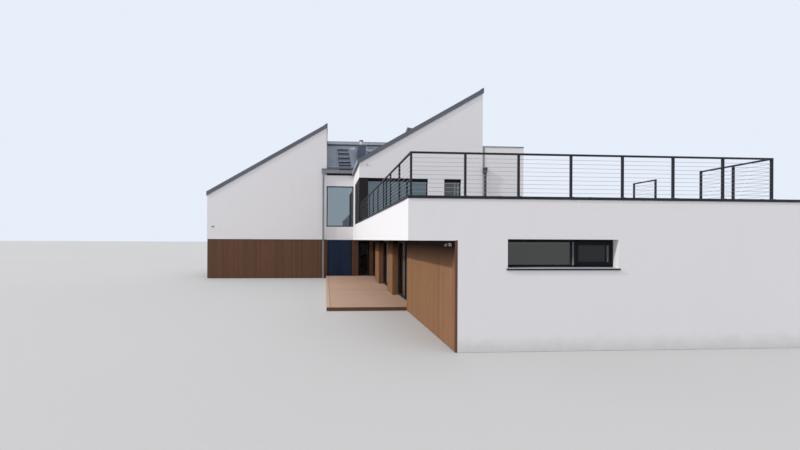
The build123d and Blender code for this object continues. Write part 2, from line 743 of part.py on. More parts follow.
def deck_bearers():
    """Bearers on edge along the deck, the outer two under its long edges."""
    pitch = (TERRACE_WALL_X - DECK_X - BEARER) / (BEARERS - 1)
    starts = [DECK_X + i * pitch for i in range(BEARERS)]
    return [block((x, x + BEARER), (BAY_Y[0], MAIN_Y), (0, FLOOR_Z - DECK_BOARD)) for x in starts]


# Rainwater goods and roof outlets
def link_gutter():
    """Box gutter on a fascia along the link's eave, run on in front of the left block."""
    fascia_top = LINK_EAVE_Z + ROOF
    x = (-GUTTER_OVERRUN, LINK)
    fascia = block((0, LINK), (MAIN_Y - GUTTER_WALL, MAIN_Y), (fascia_top - FASCIA_HEIGHT, fascia_top))
    y = (GUTTER_Y, MAIN_Y - GUTTER_WALL)
    gutter_top = fascia_top - GUTTER_DROP
    z = (gutter_top - GUTTER_HEIGHT, gutter_top)
    trough = block(x, y, z)
    inside = block(
        (x[0] + GUTTER_WALL, x[1] - GUTTER_WALL),
        (y[0] + GUTTER_WALL, y[1] - GUTTER_WALL),
        (z[0] + GUTTER_WALL, z[1]),
    )
    return trough - inside + fascia


def downpipes():
    """Square pipes: one from the link's gutter, one in the corner of the annex under a hopper."""
    gutter_foot = LINK_EAVE_Z + ROOF - GUTTER_DROP - GUTTER_HEIGHT
    left_pipe_x = (-PIPE_STANDOFF - PIPE - PIPE, -PIPE_STANDOFF - PIPE)
    left_pipe_y = (MAIN_Y - PIPE_STANDOFF - PIPE, MAIN_Y - PIPE_STANDOFF)
    left_pipe = block(left_pipe_x, left_pipe_y, (0, gutter_foot))
    hopper_x = (RIGHT_X + HOPPER_OFFSET, RIGHT_X + HOPPER_OFFSET + HOPPER)
    hopper_y = (ANNEX_Y - HOPPER, ANNEX_Y)
    hopper = block(hopper_x, hopper_y, (HOPPER_TOP_Z - HOPPER_HEIGHT, HOPPER_TOP_Z))
    pipe_x = (sum(hopper_x) / 2 - PIPE / 2, sum(hopper_x) / 2 + PIPE / 2)
    pipe_y = (ANNEX_Y - PIPE_STANDOFF - PIPE, ANNEX_Y - PIPE_STANDOFF)
    hopper += block(pipe_x, pipe_y, (UPPER_FLOOR_Z, HOPPER_TOP_Z - HOPPER_HEIGHT))
    return [left_pipe, hopper]


def roof_cowl():
    """Outlet housing on the right block's roof, with a raked side and a flat cap."""
    roof_z = right_underside(COWL_X) + ROOF
    top_z = right_underside(COWL_X + COWL) + ROOF + COWL_RISE
    outline = [(COWL_X, -EXTENT), (COWL_X + COWL, -EXTENT), (COWL_X + COWL, top_z),
               (COWL_X + COWL / 3, top_z), (COWL_X, roof_z + COWL_RISE / 2)]
    housing = prism_along_y(outline, (COWL_Y, COWL_Y + COWL)) - below_right_roof(ROOF)
    cap_x = (COWL_X + COWL / 3, COWL_X + COWL * 2 / 3)
    return housing + block(cap_x, (COWL_Y + COWL / 3, COWL_Y + COWL * 2 / 3), (top_z, top_z + PIPE))


def chimney():
    """Clad chimney that stands on the front slope of the link's roof."""
    foot_z = link_underside(CHIMNEY_Y) + ROOF
    back_y = CHIMNEY_Y + (CHIMNEY_TOP_Z - foot_z) / tan(radians(LINK_PITCH))
    outline = [(CHIMNEY_Y, foot_z), (back_y, CHIMNEY_TOP_Z), (CHIMNEY_Y, CHIMNEY_TOP_Z)]
    return prism_along_x(outline, CHIMNEY_X)


def roof_vent():
    """Round vent on the chimney with a wider cap."""
    width = CHIMNEY_X[1] - CHIMNEY_X[0]
    foot = Pos(sum(CHIMNEY_X) / 2, CHIMNEY_Y + width / 2, CHIMNEY_TOP_Z)
    base = (Align.CENTER, Align.CENTER, Align.MIN)
    pipe = foot * Cylinder(VENT_R, VENT_RISE, align=base)
    return pipe + Pos(0, 0, VENT_RISE) * foot * Cylinder(*VENT_CAP, align=base)


def roof_windows():
    """Two windows that lie on the front slope of the link's roof."""
    width, length = ROOF_WINDOW
    near_y, far_y = ROOF_WINDOW_Y, ROOF_WINDOW_Y + length
    near_z, far_z = link_underside(near_y) + ROOF, link_underside(far_y) + ROOF
    outline = [(near_y, near_z), (far_y, far_z), (far_y, far_z + ROOF_WINDOW_RISE),
               (near_y, near_z + ROOF_WINDOW_RISE)]
    return [prism_along_x(outline, (x, x + width)) for x in ROOF_WINDOW_X]


NODES = {
    "left_front_wall": left_wall_front,
    "left_side_wall": left_wall_side,
    "left_back_wall": left_wall_back,
    "left_high_wall": left_high_wall,
    "left_cladding": left_cladding,
    "left_roof": left_roof,
    "link_front_wall": link_front_wall,
    "link_back_wall": link_back_wall,
    "link_roof_front": lambda: link_roof_half(True),
    "link_roof_back": lambda: link_roof_half(False),
    "link_ridge": link_ridge,
    "link_gutter": link_gutter,
    "right_front_wall": right_front_wall,
    "right_side_wall": right_side_wall,
    "corner_panel": corner_panel,
    "right_high_wall": right_high_wall,
    "right_lower_wall": right_lower_wall,
    "right_back_wall": right_back_wall,
    "right_roof": right_roof,
    "eave_beam": eave_beam,
    "annex_front_wall": annex_front_wall,
    "annex_side_wall": annex_side_wall,
    "annex_back_wall": annex_back_wall,
    "annex_roof": annex_roof,
    "wing_front_wall": wing_front_wall,
    "wing_right_wall": wing_right_wall,
    "wing_back_wall": wing_back_wall,
    "overhang_side_fascia": overhang_side_fascia,
    "overhang_front_fascia": overhang_front_fascia,
    "terrace_slab": terrace_slab,
    "upper_floor": upper_floor,
    "annex_floor": annex_floor,
    "ground_floor": ground_floor,
    "wing_floor": wing_floor,
    "terrace_wall": terrace_wall,
    "terrace_cladding": terrace_cladding,
    "bay_frames": bay_frames,
    "fixed_leaves": fixed_leaves,
    "rear_piers": rear_piers,
    "rear_shutter": rear_shutter,
    "rear_door_frame": rear_door_frame,
    "rear_door": rear_door,
    "window_frames": window_frames,
    "window_glass": window_glass,
    "window_sills": window_sills,
    "copings": copings,
    "front_railing": front_railing,
    "side_railing": side_railing,
    "return_railings": return_railings,
    "deck_boards": deck_boards,
    "deck_bearers": deck_bearers,
    "downpipes": downpipes,
    "roof_cowl": roof_cowl,
    "chimney": chimney,
    "roof_vent": roof_vent,
    "roof_windows": roof_windows,
}
for bay_name, bay_start in zip(BAY_NAMES, BAY_Y):
    NODES[f"{bay_name}_sliding_leaf"] = lambda start=bay_start: sliding_leaf(start)


def as_solids(made):
    """The separate solids of a node, whatever its function returned."""
    pieces = made if isinstance(made, list) else [made]
    return [solid for piece in pieces for solid in piece.solids()]


built = {name: as_solids(make()) for name, make in NODES.items()}
boxes = [solid.bounding_box() for solids in built.values() for solid in solids]
middle_x = (min(box.min.X for box in boxes) + max(box.max.X for box in boxes)) / 2
middle_y = (min(box.min.Y for box in boxes) + max(box.max.Y for box in boxes)) / 2
origin = Pos(-middle_x, -middle_y, -min(box.min.Z for box in boxes))

os.makedirs("parts", exist_ok=True)
for name, solids in built.items():
    placed = [origin * solid for solid in solids]
    export_step(Compound(placed) if len(placed) > 1 else placed[0], f"parts/{name}.step")
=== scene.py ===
"""Finishes a detached house: render, boards, sheet metal roofs, railings, glazing and a plain stage.

Sizes are in metres. Places are counted from the corner where the link meets the left block (x), from
the wing's front wall (y) and from the foot of the walls (z); site() turns them into model places.
"""

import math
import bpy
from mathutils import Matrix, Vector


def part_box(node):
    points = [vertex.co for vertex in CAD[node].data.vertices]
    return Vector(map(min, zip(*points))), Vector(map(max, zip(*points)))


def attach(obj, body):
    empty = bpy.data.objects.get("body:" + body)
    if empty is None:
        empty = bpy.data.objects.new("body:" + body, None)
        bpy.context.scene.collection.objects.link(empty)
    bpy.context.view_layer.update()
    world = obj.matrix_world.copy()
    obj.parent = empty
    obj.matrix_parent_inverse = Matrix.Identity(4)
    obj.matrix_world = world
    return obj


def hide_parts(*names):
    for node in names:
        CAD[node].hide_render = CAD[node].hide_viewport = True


bl_info = {
    "name": "House Finisher",
    "version": (1, 0, 0),
    "blender": (4, 5, 0),
    "location": "View3D > Sidebar > House",
    "description": "Adds finishes and fine pieces to a packed detached house",
    "category": "Object",
}

import bmesh
import bpy
from bpy.props import FloatProperty, FloatVectorProperty, IntProperty, PointerProperty
from mathutils import Matrix, Vector

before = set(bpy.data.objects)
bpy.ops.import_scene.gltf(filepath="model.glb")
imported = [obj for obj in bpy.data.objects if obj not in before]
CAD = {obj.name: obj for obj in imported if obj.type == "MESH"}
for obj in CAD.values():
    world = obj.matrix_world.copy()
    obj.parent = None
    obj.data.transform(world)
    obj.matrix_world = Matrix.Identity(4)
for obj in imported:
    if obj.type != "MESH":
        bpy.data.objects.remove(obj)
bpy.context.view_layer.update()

CORNER_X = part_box("left_front_wall")[1].x
CORNER_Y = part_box("wing_front_wall")[0].y


def site(x, y, z=0.0):
    return Vector((CORNER_X + x, CORNER_Y + y, z))


def site_box(node):
    """Lowest and highest corner of a node, counted from the site's corner."""
    shift = Vector((CORNER_X, CORNER_Y, 0))
    return tuple(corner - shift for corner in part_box(node))


WALL = 0.4
FLOOR = site_box("deck_boards")[1].z
SOFFIT = site_box("overhang_side_fascia")[0].z
PARAPET = site_box("overhang_side_fascia")[1].z
TERRACE = site_box("terrace_slab")[1].z
MAIN_Y = site_box("left_front_wall")[0].y
BACK_Y = site_box("left_back_wall")[1].y
LEFT_X = site_box("left_front_wall")[0].x
LINK_X = site_box("link_front_wall")[1].x
RIGHT_X = site_box("right_front_wall")[1].x
RIGHT_Y = site_box("right_front_wall")[0].y
ANNEX_LOW, ANNEX_HIGH = site_box("annex_front_wall")
WING_X = site_box("wing_front_wall")[1].x
WING_BACK_Y = site_box("wing_right_wall")[1].y + WALL
RENDER_LIP = 0.02
CLADDING = 0.06
BAY = 3.12
BAY_Y = (5.48, 10.0, MAIN_Y - BAY)
LEFT_PITCH, RIGHT_PITCH, LINK_PITCH = (math.radians(a) for a in (30.4, 30.1, 30.0))
LEFT_EAVE, RIGHT_EAVE, LINK_EAVE = 5.79, 7.29, 7.60
ROOF = 0.275
COPING = 0.065
PIPE = 0.12
RECESS = 0.185
FRAME_DEPTH = 0.08
GLAZING_X = 3.33
WING_WINDOW = ((4.39, 7.235), (2.05, 2.76))
WING_MULLION = 6.19
BAND = ((LINK_X + WALL, 6.08), (TERRACE, 6.43))
BAND_HEAD = 0.18
TERRACE_DOOR_X = (7.07, 8.12)
LINK_WINDOW_Z = (3.65, 6.53)
BACK_WINDOWS = [((x, x + 1.9), z) for x in (-6.9, -3.7, 3.2, 6.2) for z in ((4.5, 6.4), (1.1, 2.5))]


# Settings that a user would change
class BoardingSettings(bpy.types.PropertyGroup):
    board_width: FloatProperty(name="Board width", description="Width of one facade board with its groove",
                               default=0.138, unit="LENGTH")
    groove: FloatProperty(name="Groove", description="Width of the groove between facade boards",
                          default=0.009, unit="LENGTH")
    board_depth: FloatProperty(name="Board depth", description="Thickness of a facade board",
                               default=0.021, unit="LENGTH")
    deck_width: FloatProperty(name="Deck board width", description="Width of one deck board",
                              default=0.14, unit="LENGTH")
    deck_gap: FloatProperty(name="Deck gap", description="Gap between two deck boards",
                            default=0.006, unit="LENGTH")
    # shaded_colour and sunny_colour are darker and lighter copies of one board stain; the gap between them is
    # painted shade and painted sunlight.
    shaded_colour: FloatVectorProperty(name="Shaded boards", description="Stain of the left block's boards",
                                       subtype="COLOR", default=(0.150, 0.070, 0.037))
    sunny_colour: FloatVectorProperty(name="Terrace boards", description="Stain of the boards by the terrace",
                                      subtype="COLOR", default=(0.285, 0.150, 0.077))
    deck_colour: FloatVectorProperty(name="Deck", description="Colour of the deck boards",
                                     subtype="COLOR", default=(0.60, 0.385, 0.265))


class RoofSettings(bpy.types.PropertyGroup):
    tray_width: FloatProperty(name="Tray width", description="Distance between standing seams",
                              default=0.43, unit="LENGTH")
    seam_height: FloatProperty(name="Seam height", description="Height of a standing seam",
                               default=0.028, unit="LENGTH")
    roof_colour: FloatVectorProperty(name="Roof", description="Colour of the roof trays",
                                     subtype="COLOR", default=(0.165, 0.195, 0.250))
    verge_colour: FloatVectorProperty(name="Verge", description="Colour of the verge and eave flashings",
                                      subtype="COLOR", default=(0.115, 0.123, 0.148))


class RailingSettings(bpy.types.PropertyGroup):
    rod_count: IntProperty(name="Rods", description="Number of level rods in a railing", default=9)
    rod_size: FloatProperty(name="Rod", description="Diameter of a rod", default=0.008, unit="LENGTH")
    post_size: FloatProperty(name="Post", description="Width of a post", default=0.050, unit="LENGTH")
    rail_colour: FloatVectorProperty(name="Railing", description="Powder coat of the railings",
                                     subtype="COLOR", default=(0.024, 0.026, 0.032))
    coping_colour: FloatVectorProperty(name="Coping", description="Colour of the copings",
                                       subtype="COLOR", default=(0.016, 0.018, 0.024))


class GlazingSettings(bpy.types.PropertyGroup):
    profile: FloatProperty(name="Profile", description="Width of a window profile", default=0.06,
                           unit="LENGTH")
    frame_colour: FloatVectorProperty(name="Frames", description="Powder coat of the window frames",
                                      subtype="COLOR", default=(0.010, 0.011, 0.014))
    leaf_colour: FloatVectorProperty(name="Terrace leaves", description="Coating of the terrace leaves",
                                     subtype="COLOR", default=(0.030, 0.031, 0.034))
    shutter_colour: FloatVectorProperty(name="Shutter", description="Coating of the closed shutter",
                                        subtype="COLOR", default=(0.017, 0.031, 0.068))


class WallSettings(bpy.types.PropertyGroup):
    render_colour: FloatVectorProperty(name="Render", description="Colour of the mineral render",
                                       subtype="COLOR", default=(0.78, 0.775, 0.785))
    paving: FloatProperty(name="Paving slab", description="Side of a paving slab on the roof terrace",
                          default=0.6, unit="LENGTH")


class StageSettings(bpy.types.PropertyGroup):
    sun: FloatProperty(name="Sun", description="Strength of the sun lamp", default=1.88)
    sky: FloatProperty(name="Sky", description="Strength of the sky", default=0.90)
    lens: FloatProperty(name="Lens", description="Focal length of the camera", default=17.01, unit="CAMERA")


SETTINGS = {
    "house_boarding": BoardingSettings,
    "house_roofs": RoofSettings,
    "house_railings": RailingSettings,
    "house_glazing": GlazingSettings,
    "house_walls": WallSettings,
    "house_stage": StageSettings,
}


# Finishes
def add_node(tree, kind, values, settings):
    """Node with the given settings, its inputs linked to sockets or set to values."""
    node = tree.nodes.new(kind)
    for key, value in settings.items():
        setattr(node, key, value)
    for key, value in dict(values).items():
        if isinstance(value, bpy.types.NodeSocket):
            tree.links.new(value, node.inputs[key])
        else:
            node.inputs[key].default_value = value
    return node


class Finish:
    """A material in the making, with short ways to add and join its nodes."""

    def __init__(self, name, roughness=0.6, metallic=0.0, **inputs):
        self.material = bpy.data.materials.new(name)
        self.material.use_nodes = True
        self.tree = self.material.node_tree
        self.shader = self.tree.nodes["Principled BSDF"]
        self.shader.inputs["Roughness"].default_value = roughness
        self.shader.inputs["Metallic"].default_value = metallic
        for key, value in inputs.items():
            self.shader.inputs[key.replace("_", " ")].default_value = value
        self.place = self.add("ShaderNodeTexCoord").outputs["Object"]

    def add(self, kind, values=(), **settings):
        return add_node(self.tree, kind, values, settings)

    def stretched(self, scale, shift=None):
        """Object places, stretched by scale along each axis."""
        mapping = self.add("ShaderNodeMapping", {"Vector": self.place, "Scale": scale})
        if shift is not None:
            self.tree.links.new(shift, mapping.inputs["Location"])
        return mapping.outputs["Vector"]

    def noise(self, scale, place=None, detail=4.0, roughness=0.55):
        place = self.place if place is None else place
        return self.add("ShaderNodeTexNoise", {"Vector": place, "Scale": scale, "Detail": detail,
                                               "Roughness": roughness}).outputs["Fac"]

    def spread(self, value, low, high, start=0.0, end=1.0):
        """Value from low..high turned into start..end."""
        return self.add("ShaderNodeMapRange", {"Value": value, "From Min": low, "From Max": high,
                                               "To Min": start, "To Max": end}).outputs["Result"]

    def math(self, operation, first, second=0.0):
        node = self.add("ShaderNodeMath", {0: first, 1: second}, operation=operation)
        return node.outputs["Value"]

    def mix(self, share, first, second):
        """Colour between two, each a colour or a socket."""
        ends = [end if isinstance(end, bpy.types.NodeSocket) else (*end, 1.0) for end in (first, second)]
        return self.add("ShaderNodeMix", {0: share, 6: ends[0], 7: ends[1]}, data_type="RGBA").outputs[2]

    def colour(self, value):
        self.tree.links.new(value, self.shader.inputs["Base Color"])

    def rough(self, value, low, high):
        self.tree.links.new(self.spread(value, 0.25, 0.75, low, high), self.shader.inputs["Roughness"])

    def bump(self, height, strength, distance):
        bump = self.add("ShaderNodeBump", {"Height": height, "Strength": strength, "Distance": distance})
        self.tree.links.new(bump.outputs["Normal"], self.shader.inputs["Normal"])


def shade(colour, amount):
    return tuple(min(1.0, c * amount) for c in colour)


FINISHES = {}


def finish(name):
    """The named finish, made the first time that a piece asks for it."""
    if name not in FINISHES:
        FINISHES[name] = FINISH_MAKERS[name](name)
    return FINISHES[name]


def mineral_render(name):
    """Trowelled scratch render with faint clouds, rain streaks and a splash zone at the foot."""
    colour = tuple(bpy.context.scene.house_walls.render_colour)
    f = Finish(name, roughness=0.92, Specular_IOR_Level=0.25)
    clouds = f.noise(0.45, detail=5)
    streaks = f.noise(1.0, f.stretched((5.0, 5.0, 0.22)), detail=5)
    weather = f.math("MULTIPLY", f.spread(clouds, 0.3, 0.7), f.spread(streaks, 0.35, 0.8))
    body = f.mix(f.math("MULTIPLY", weather, 0.25), colour, shade(colour, 0.92))
    height = f.add("ShaderNodeSeparateXYZ", {"Vector": f.place}).outputs["Z"]
    splash = f.spread(f.math("ADD", height, f.math("MULTIPLY", f.noise(3.0), -0.35)), 0.22, -0.12)
    f.colour(f.mix(f.math("MULTIPLY", splash, 0.35), body, (0.40, 0.385, 0.36)))
    grain = f.noise(210.0, detail=3, roughness=0.7)
    pits = f.add("ShaderNodeTexVoronoi", {"Vector": f.place, "Scale": 120.0}).outputs["Distance"]
    f.bump(f.math("ADD", grain, f.math("MULTIPLY", pits, 0.6)), 0.35, 0.003)
    return f.material


def stained_wood(name, colour, along, rough=0.62, grey=0.0, painted_soffit_shade=0.0):
    """Stained boards: each has its own tone and grain, which runs along the given axis.

    Sheltered boards darken towards the soffit, which stands in for the deep shade below it.
    """
    f = Finish(name, roughness=rough, Specular_IOR_Level=0.06 if painted_soffit_shade else 0.25)
    tone = f.add("ShaderNodeAttribute", attribute_name="tone").outputs["Fac"]
    shift = f.add("ShaderNodeCombineXYZ", {0: f.math("MULTIPLY", tone, 31.0),
                                           1: f.math("MULTIPLY", tone, 17.0),
                                           2: f.math("MULTIPLY", tone, 53.0)}).outputs["Vector"]
    fine = tuple(1.1 if axis == along else 42.0 for axis in range(3))
    broad = tuple(0.35 if axis == along else 7.0 for axis in range(3))
    grain = f.noise(1.0, f.stretched(fine, shift), detail=7, roughness=0.65)
    figure = f.noise(1.0, f.stretched(broad, shift), detail=4)
    body = f.mix(f.spread(grain, 0.32, 0.70), shade(colour, 0.70), shade(colour, 1.22))
    body = f.mix(f.math("MULTIPLY", f.spread(figure, 0.35, 0.7), 0.45), body, shade(colour, 0.82))
    body = f.mix(f.spread(tone, 0.0, 1.0, 0.0, 0.65), body, shade(colour, 0.66))
    # Painted shade: the colour darkens with height towards the soffit.
    if painted_soffit_shade:
        height = f.add("ShaderNodeSeparateXYZ", {"Vector": f.place}).outputs["Z"]
        body = f.mix(f.spread(height, SOFFIT - 0.75, SOFFIT - 0.15, 0.0, painted_soffit_shade), body,
                     shade(colour, 0.04))
    if grey:
        weathered = f.math("MULTIPLY", f.spread(f.noise(0.8, detail=5), 0.35, 0.7), grey)
        body = f.mix(weathered, body, (0.50, 0.41, 0.36))
    f.colour(body)
    f.rough(grain, rough - 0.10, rough + 0.12)
    f.bump(grain, 0.30, 0.0015)
    return f.material


def dark_backing(name):
    """Breather layer behind the open joints of the boards."""
    f = Finish(name, roughness=0.9)
    f.colour(f.mix(f.noise(9.0), (0.014, 0.012, 0.011), (0.03, 0.024, 0.02)))
    return f.material


def coated_metal(name, colour, roughness=0.42, metallic=0.2, tray=None, patina=0.12, gloss=0.5):
    """Coated sheet: slow clouds, fine rain marks, slightly uneven gloss and faint oil-canning."""
    f = Finish(name, roughness=roughness, metallic=metallic, Specular_IOR_Level=gloss)
    clouds = f.noise(0.7, detail=5)
    marks = f.noise(1.0, f.stretched((9.0, 9.0, 0.8)), detail=6, roughness=0.7)
    body = f.mix(f.spread(clouds, 0.3, 0.7), shade(colour, 1 - patina), shade(colour, 1 + patina))
    body = f.mix(f.math("MULTIPLY", f.spread(marks, 0.45, 0.8), 0.35), body, shade(colour, 1.35))
    if tray:
        parts = f.add("ShaderNodeSeparateXYZ", {"Vector": f.place})
        number = f.math("FLOOR", f.math("DIVIDE", parts.outputs[tray[0]], tray[1]))
        own = f.add("ShaderNodeTexWhiteNoise", {"W": number}, noise_dimensions="1D").outputs["Value"]
        body = f.mix(f.math("MULTIPLY", own, 0.30), body, shade(colour, 0.72))
    f.colour(body)
    f.rough(marks, roughness - 0.08, roughness + 0.12)
    waves = f.noise(2.4, detail=2)
    f.bump(f.math("ADD", waves, f.math("MULTIPLY", f.noise(60.0, detail=3), 0.08)), 0.12, 0.006)
    return f.material


def tray_metal(name, axis):
    """Roof trays, each with a tone of its own, counted along the given axis."""
    settings = bpy.context.scene.house_roofs
    return coated_metal(name, tuple(settings.roof_colour), 0.40, 0.25, (axis, settings.tray_width))


def powder_coat(name, colour, roughness=0.4, gloss=0.12):
    """Powder coat: fine orange peel, and dust that dulls it here and there."""
    f = Finish(name, roughness=roughness, Specular_IOR_Level=gloss)
    dust = f.noise(1.7, detail=6, roughness=0.65)
    f.colour(f.mix(f.math("MULTIPLY", f.spread(dust, 0.45, 0.75), 0.3), colour,
                   tuple(c * 0.9 + 0.008 for c in colour)))
    f.rough(dust, roughness - 0.06, roughness + 0.14)
    f.bump(f.noise(420.0, detail=2), 0.12, 0.0008)
    return f.material


def steel(name):
    """Brushed stainless steel of rods' ends, handles and screws."""
    f = Finish(name, roughness=0.32, metallic=1.0)
    brushed = f.noise(1.0, f.stretched((30.0, 30.0, 900.0)), detail=3)
    f.colour(f.mix(f.spread(brushed, 0.3, 0.7), (0.42, 0.42, 0.43), (0.62, 0.62, 0.63)))
    f.rough(brushed, 0.24, 0.42)
    return f.material


def blind_slat(name):
    """Woven slats of a vertical blind, tan in the front bay and off-white in the middle one."""
    f = Finish(name, roughness=0.8)
    weave = f.add("ShaderNodeTexWave", {"Vector": f.place, "Scale": 60.0, "Distortion": 0.5}).outputs["Fac"]
    pale, dark = {"front_slat": ((0.21, 0.175, 0.145), (0.16, 0.13, 0.105)),
                  "middle_slat": ((0.66, 0.65, 0.65), (0.56, 0.55, 0.55))}[name]
    f.colour(f.mix(weave, dark, pale))
    f.bump(weave, 0.1, 0.0005)
    return f.material


def comb_mesh(name):
    """Perforated dark strip that lets air out below the ridge."""
    f = Finish(name, roughness=0.7)
    holes = f.add("ShaderNodeTexVoronoi", {"Vector": f.place, "Scale": 90.0}).outputs["Distance"]
    f.colour(f.mix(f.spread(holes, 0.15, 0.45), (0.012, 0.014, 0.018), (0.042, 0.048, 0.062)))
    f.bump(holes, 0.4, 0.003)
    return f.material


def rubber(name):
    f = Finish(name, roughness=0.75)
    f.colour(f.mix(f.noise(30.0), (0.010, 0.010, 0.011), (0.022, 0.022, 0.023)))
    return f.material


def pane_glass(name, colour, alpha, ior=1.9, gloss=0.5, tint=(1.0, 1.0, 1.0)):
    """Coated double glazing: dark body, strong gloss and the slight waves of real panes."""
    f = Finish(name, roughness=0.03, IOR=ior, Alpha=alpha, Specular_IOR_Level=gloss,
               Specular_Tint=(*tint, 1.0))
    f.colour(f.mix(f.noise(0.6, detail=2), shade(colour, 0.85), shade(colour, 1.15)))
    f.rough(f.noise(1.2, detail=5), 0.02, 0.06)
    f.bump(f.noise(0.9, detail=1), 0.04, 0.02)
    f.material.surface_render_method = "BLENDED"
    return f.material


def screed(name):
    """Light floor finish of the rooms."""
    f = Finish(name, roughness=0.55)
    f.colour(f.mix(f.noise(2.0, detail=6), (0.30, 0.28, 0.26), (0.38, 0.36, 0.33)))
    f.bump(f.noise(90.0), 0.1, 0.001)
    return f.material


def concrete_slab(name):
    """Paving slab: fine aggregate, and a tone of its own for each slab."""
    f = Finish(name, roughness=0.85)
    tone = f.add("ShaderNodeAttribute", attribute_name="tone").outputs["Fac"]
    specks = f.add("ShaderNodeTexVoronoi", {"Vector": f.place, "Scale": 160.0}).outputs["Distance"]
    body = f.mix(f.spread(f.noise(3.0, detail=6), 0.3, 0.7), (0.30, 0.30, 0.30), (0.40, 0.395, 0.385))
    body = f.mix(f.spread(specks, 0.0, 0.35, 0.25, 0.0), body, (0.18, 0.18, 0.185))
    f.colour(f.mix(f.spread(tone, 0.0, 1.0, 0.0, 0.35), body, (0.26, 0.26, 0.265)))
    f.bump(f.math("ADD", specks, f.noise(40.0)), 0.2, 0.002)
    return f.material


def pale_floor(name):
    """Plain stage floor that the camera sees as pale."""
    f = Finish(name, roughness=0.9)
    f.colour(f.mix(f.noise(0.05), (0.52, 0.52, 0.515), (0.56, 0.56, 0.555)))
    return f.material


def chosen(group, key):
    """Colour that the user's settings hold."""
    return tuple(getattr(getattr(bpy.context.scene, group), key))


FINISH_MAKERS = {
    "mineral_render": mineral_render, "dark_backing": dark_backing, "steel": steel, "front_slat": blind_slat,
    "middle_slat": blind_slat, "comb_mesh": comb_mesh, "rubber": rubber, "screed": screed,
    "concrete_slab": concrete_slab, "pale_floor": pale_floor,
    # shaded_boards and terrace_boards: one stain in a darker copy (painted shade) and a lighter copy (painted
    # sunlight).
    "shaded_boards": lambda n: stained_wood(n, chosen("house_boarding", "shaded_colour"), along=2),
    "terrace_boards": lambda n: stained_wood(n, chosen("house_boarding", "sunny_colour"), along=2,
                                             painted_soffit_shade=1.0),
    "deck_wood": lambda n: stained_wood(n, chosen("house_boarding", "deck_colour"), along=0, grey=0.35),
    "plain_timber": lambda n: stained_wood(n, (0.22, 0.15, 0.10), along=1, rough=0.75),
    "link_trays": lambda n: tray_metal(n, 0),
    "block_trays": lambda n: tray_metal(n, 1),
    "verge_metal": lambda n: coated_metal(n, chosen("house_roofs", "verge_colour"), 0.48, 0.15),
    "bright_metal": lambda n: coated_metal(n, (0.36, 0.375, 0.42), 0.42, 0.15),
    "gutter_metal": lambda n: coated_metal(n, (0.22, 0.235, 0.265), 0.45, 0.1),
    "coping_metal": lambda n: coated_metal(n, chosen("house_railings", "coping_colour"), 0.5, 0.1,
                                           gloss=0.25),
    "pipe_metal": lambda n: coated_metal(n, (0.052, 0.056, 0.066), 0.5, 0.1, gloss=0.3),
    "chimney_metal": lambda n: coated_metal(n, (0.112, 0.140, 0.185), 0.5, 0.1, gloss=0.3),
    "rod_steel": lambda n: coated_metal(n, (0.32, 0.33, 0.35), 0.45, 0.2),
    "joint_metal": lambda n: coated_metal(n, (0.23, 0.235, 0.255), 0.5, 0.1),
    "annex_coping_metal": lambda n: coated_metal(n, (0.23, 0.235, 0.255), 0.5, 0.1),
    "railing_coat": lambda n: powder_coat(n, chosen("house_railings", "rail_colour"), 0.38),
    "frame_coat": lambda n: powder_coat(n, chosen("house_glazing", "frame_colour"), 0.55, 0.05),
    "leaf_coat": lambda n: powder_coat(n, chosen("house_glazing", "leaf_colour"), 0.55, 0.05),
    "dark_coat_and_painted_shade": lambda n: powder_coat(n, (0.014, 0.011, 0.013), 0.55, 0.2),
    "shutter_coat": lambda n: powder_coat(n, chosen("house_glazing", "shutter_colour"), 0.45),
    "lamp_coat": lambda n: powder_coat(n, (0.68, 0.68, 0.67), 0.35),
    "spot_coat": lambda n: powder_coat(n, (0.34, 0.34, 0.34), 0.35),
    # Green body of this glass: a painted reflection of greenery, in the wing, the band's door and at the back.
    "green_reflection_glass": lambda n: pane_glass(n, (0.010, 0.018, 0.010), 0.90),
    "band_glass": lambda n: pane_glass(n, (0.012, 0.018, 0.024), 0.90, 2.0, 0.8, (0.75, 0.92, 1.0)),
    "sky_glass": lambda n: pane_glass(n, (0.008, 0.012, 0.011), 0.90, 2.5, 1.0, (0.80, 0.95, 1.0)),
    "sash_glass": lambda n: pane_glass(n, (0.010, 0.011, 0.012), 0.80, 1.5),
    "clear_glass": lambda n: pane_glass(n, (0.010, 0.011, 0.012), 0.15, 1.5),
}


def dress(nodes, name):
    """Gives CAD nodes a finish."""
    for node in nodes:
        slots = CAD[node].data.materials
        slots.clear()
        slots.append(finish(name))


# Mesh helpers
X, Y, Z = (1, 0, 0), (0, 1, 0), (0, 0, 1)


def axes(origin, along, inwards, up):
    """Matrix whose columns are the given directions, at the origin."""
    columns = [Vector(v).normalized() for v in (along, inwards, up)]
    matrix = Matrix((columns[0], columns[1], columns[2])).transposed().to_4x4()
    matrix.translation = origin
    return matrix


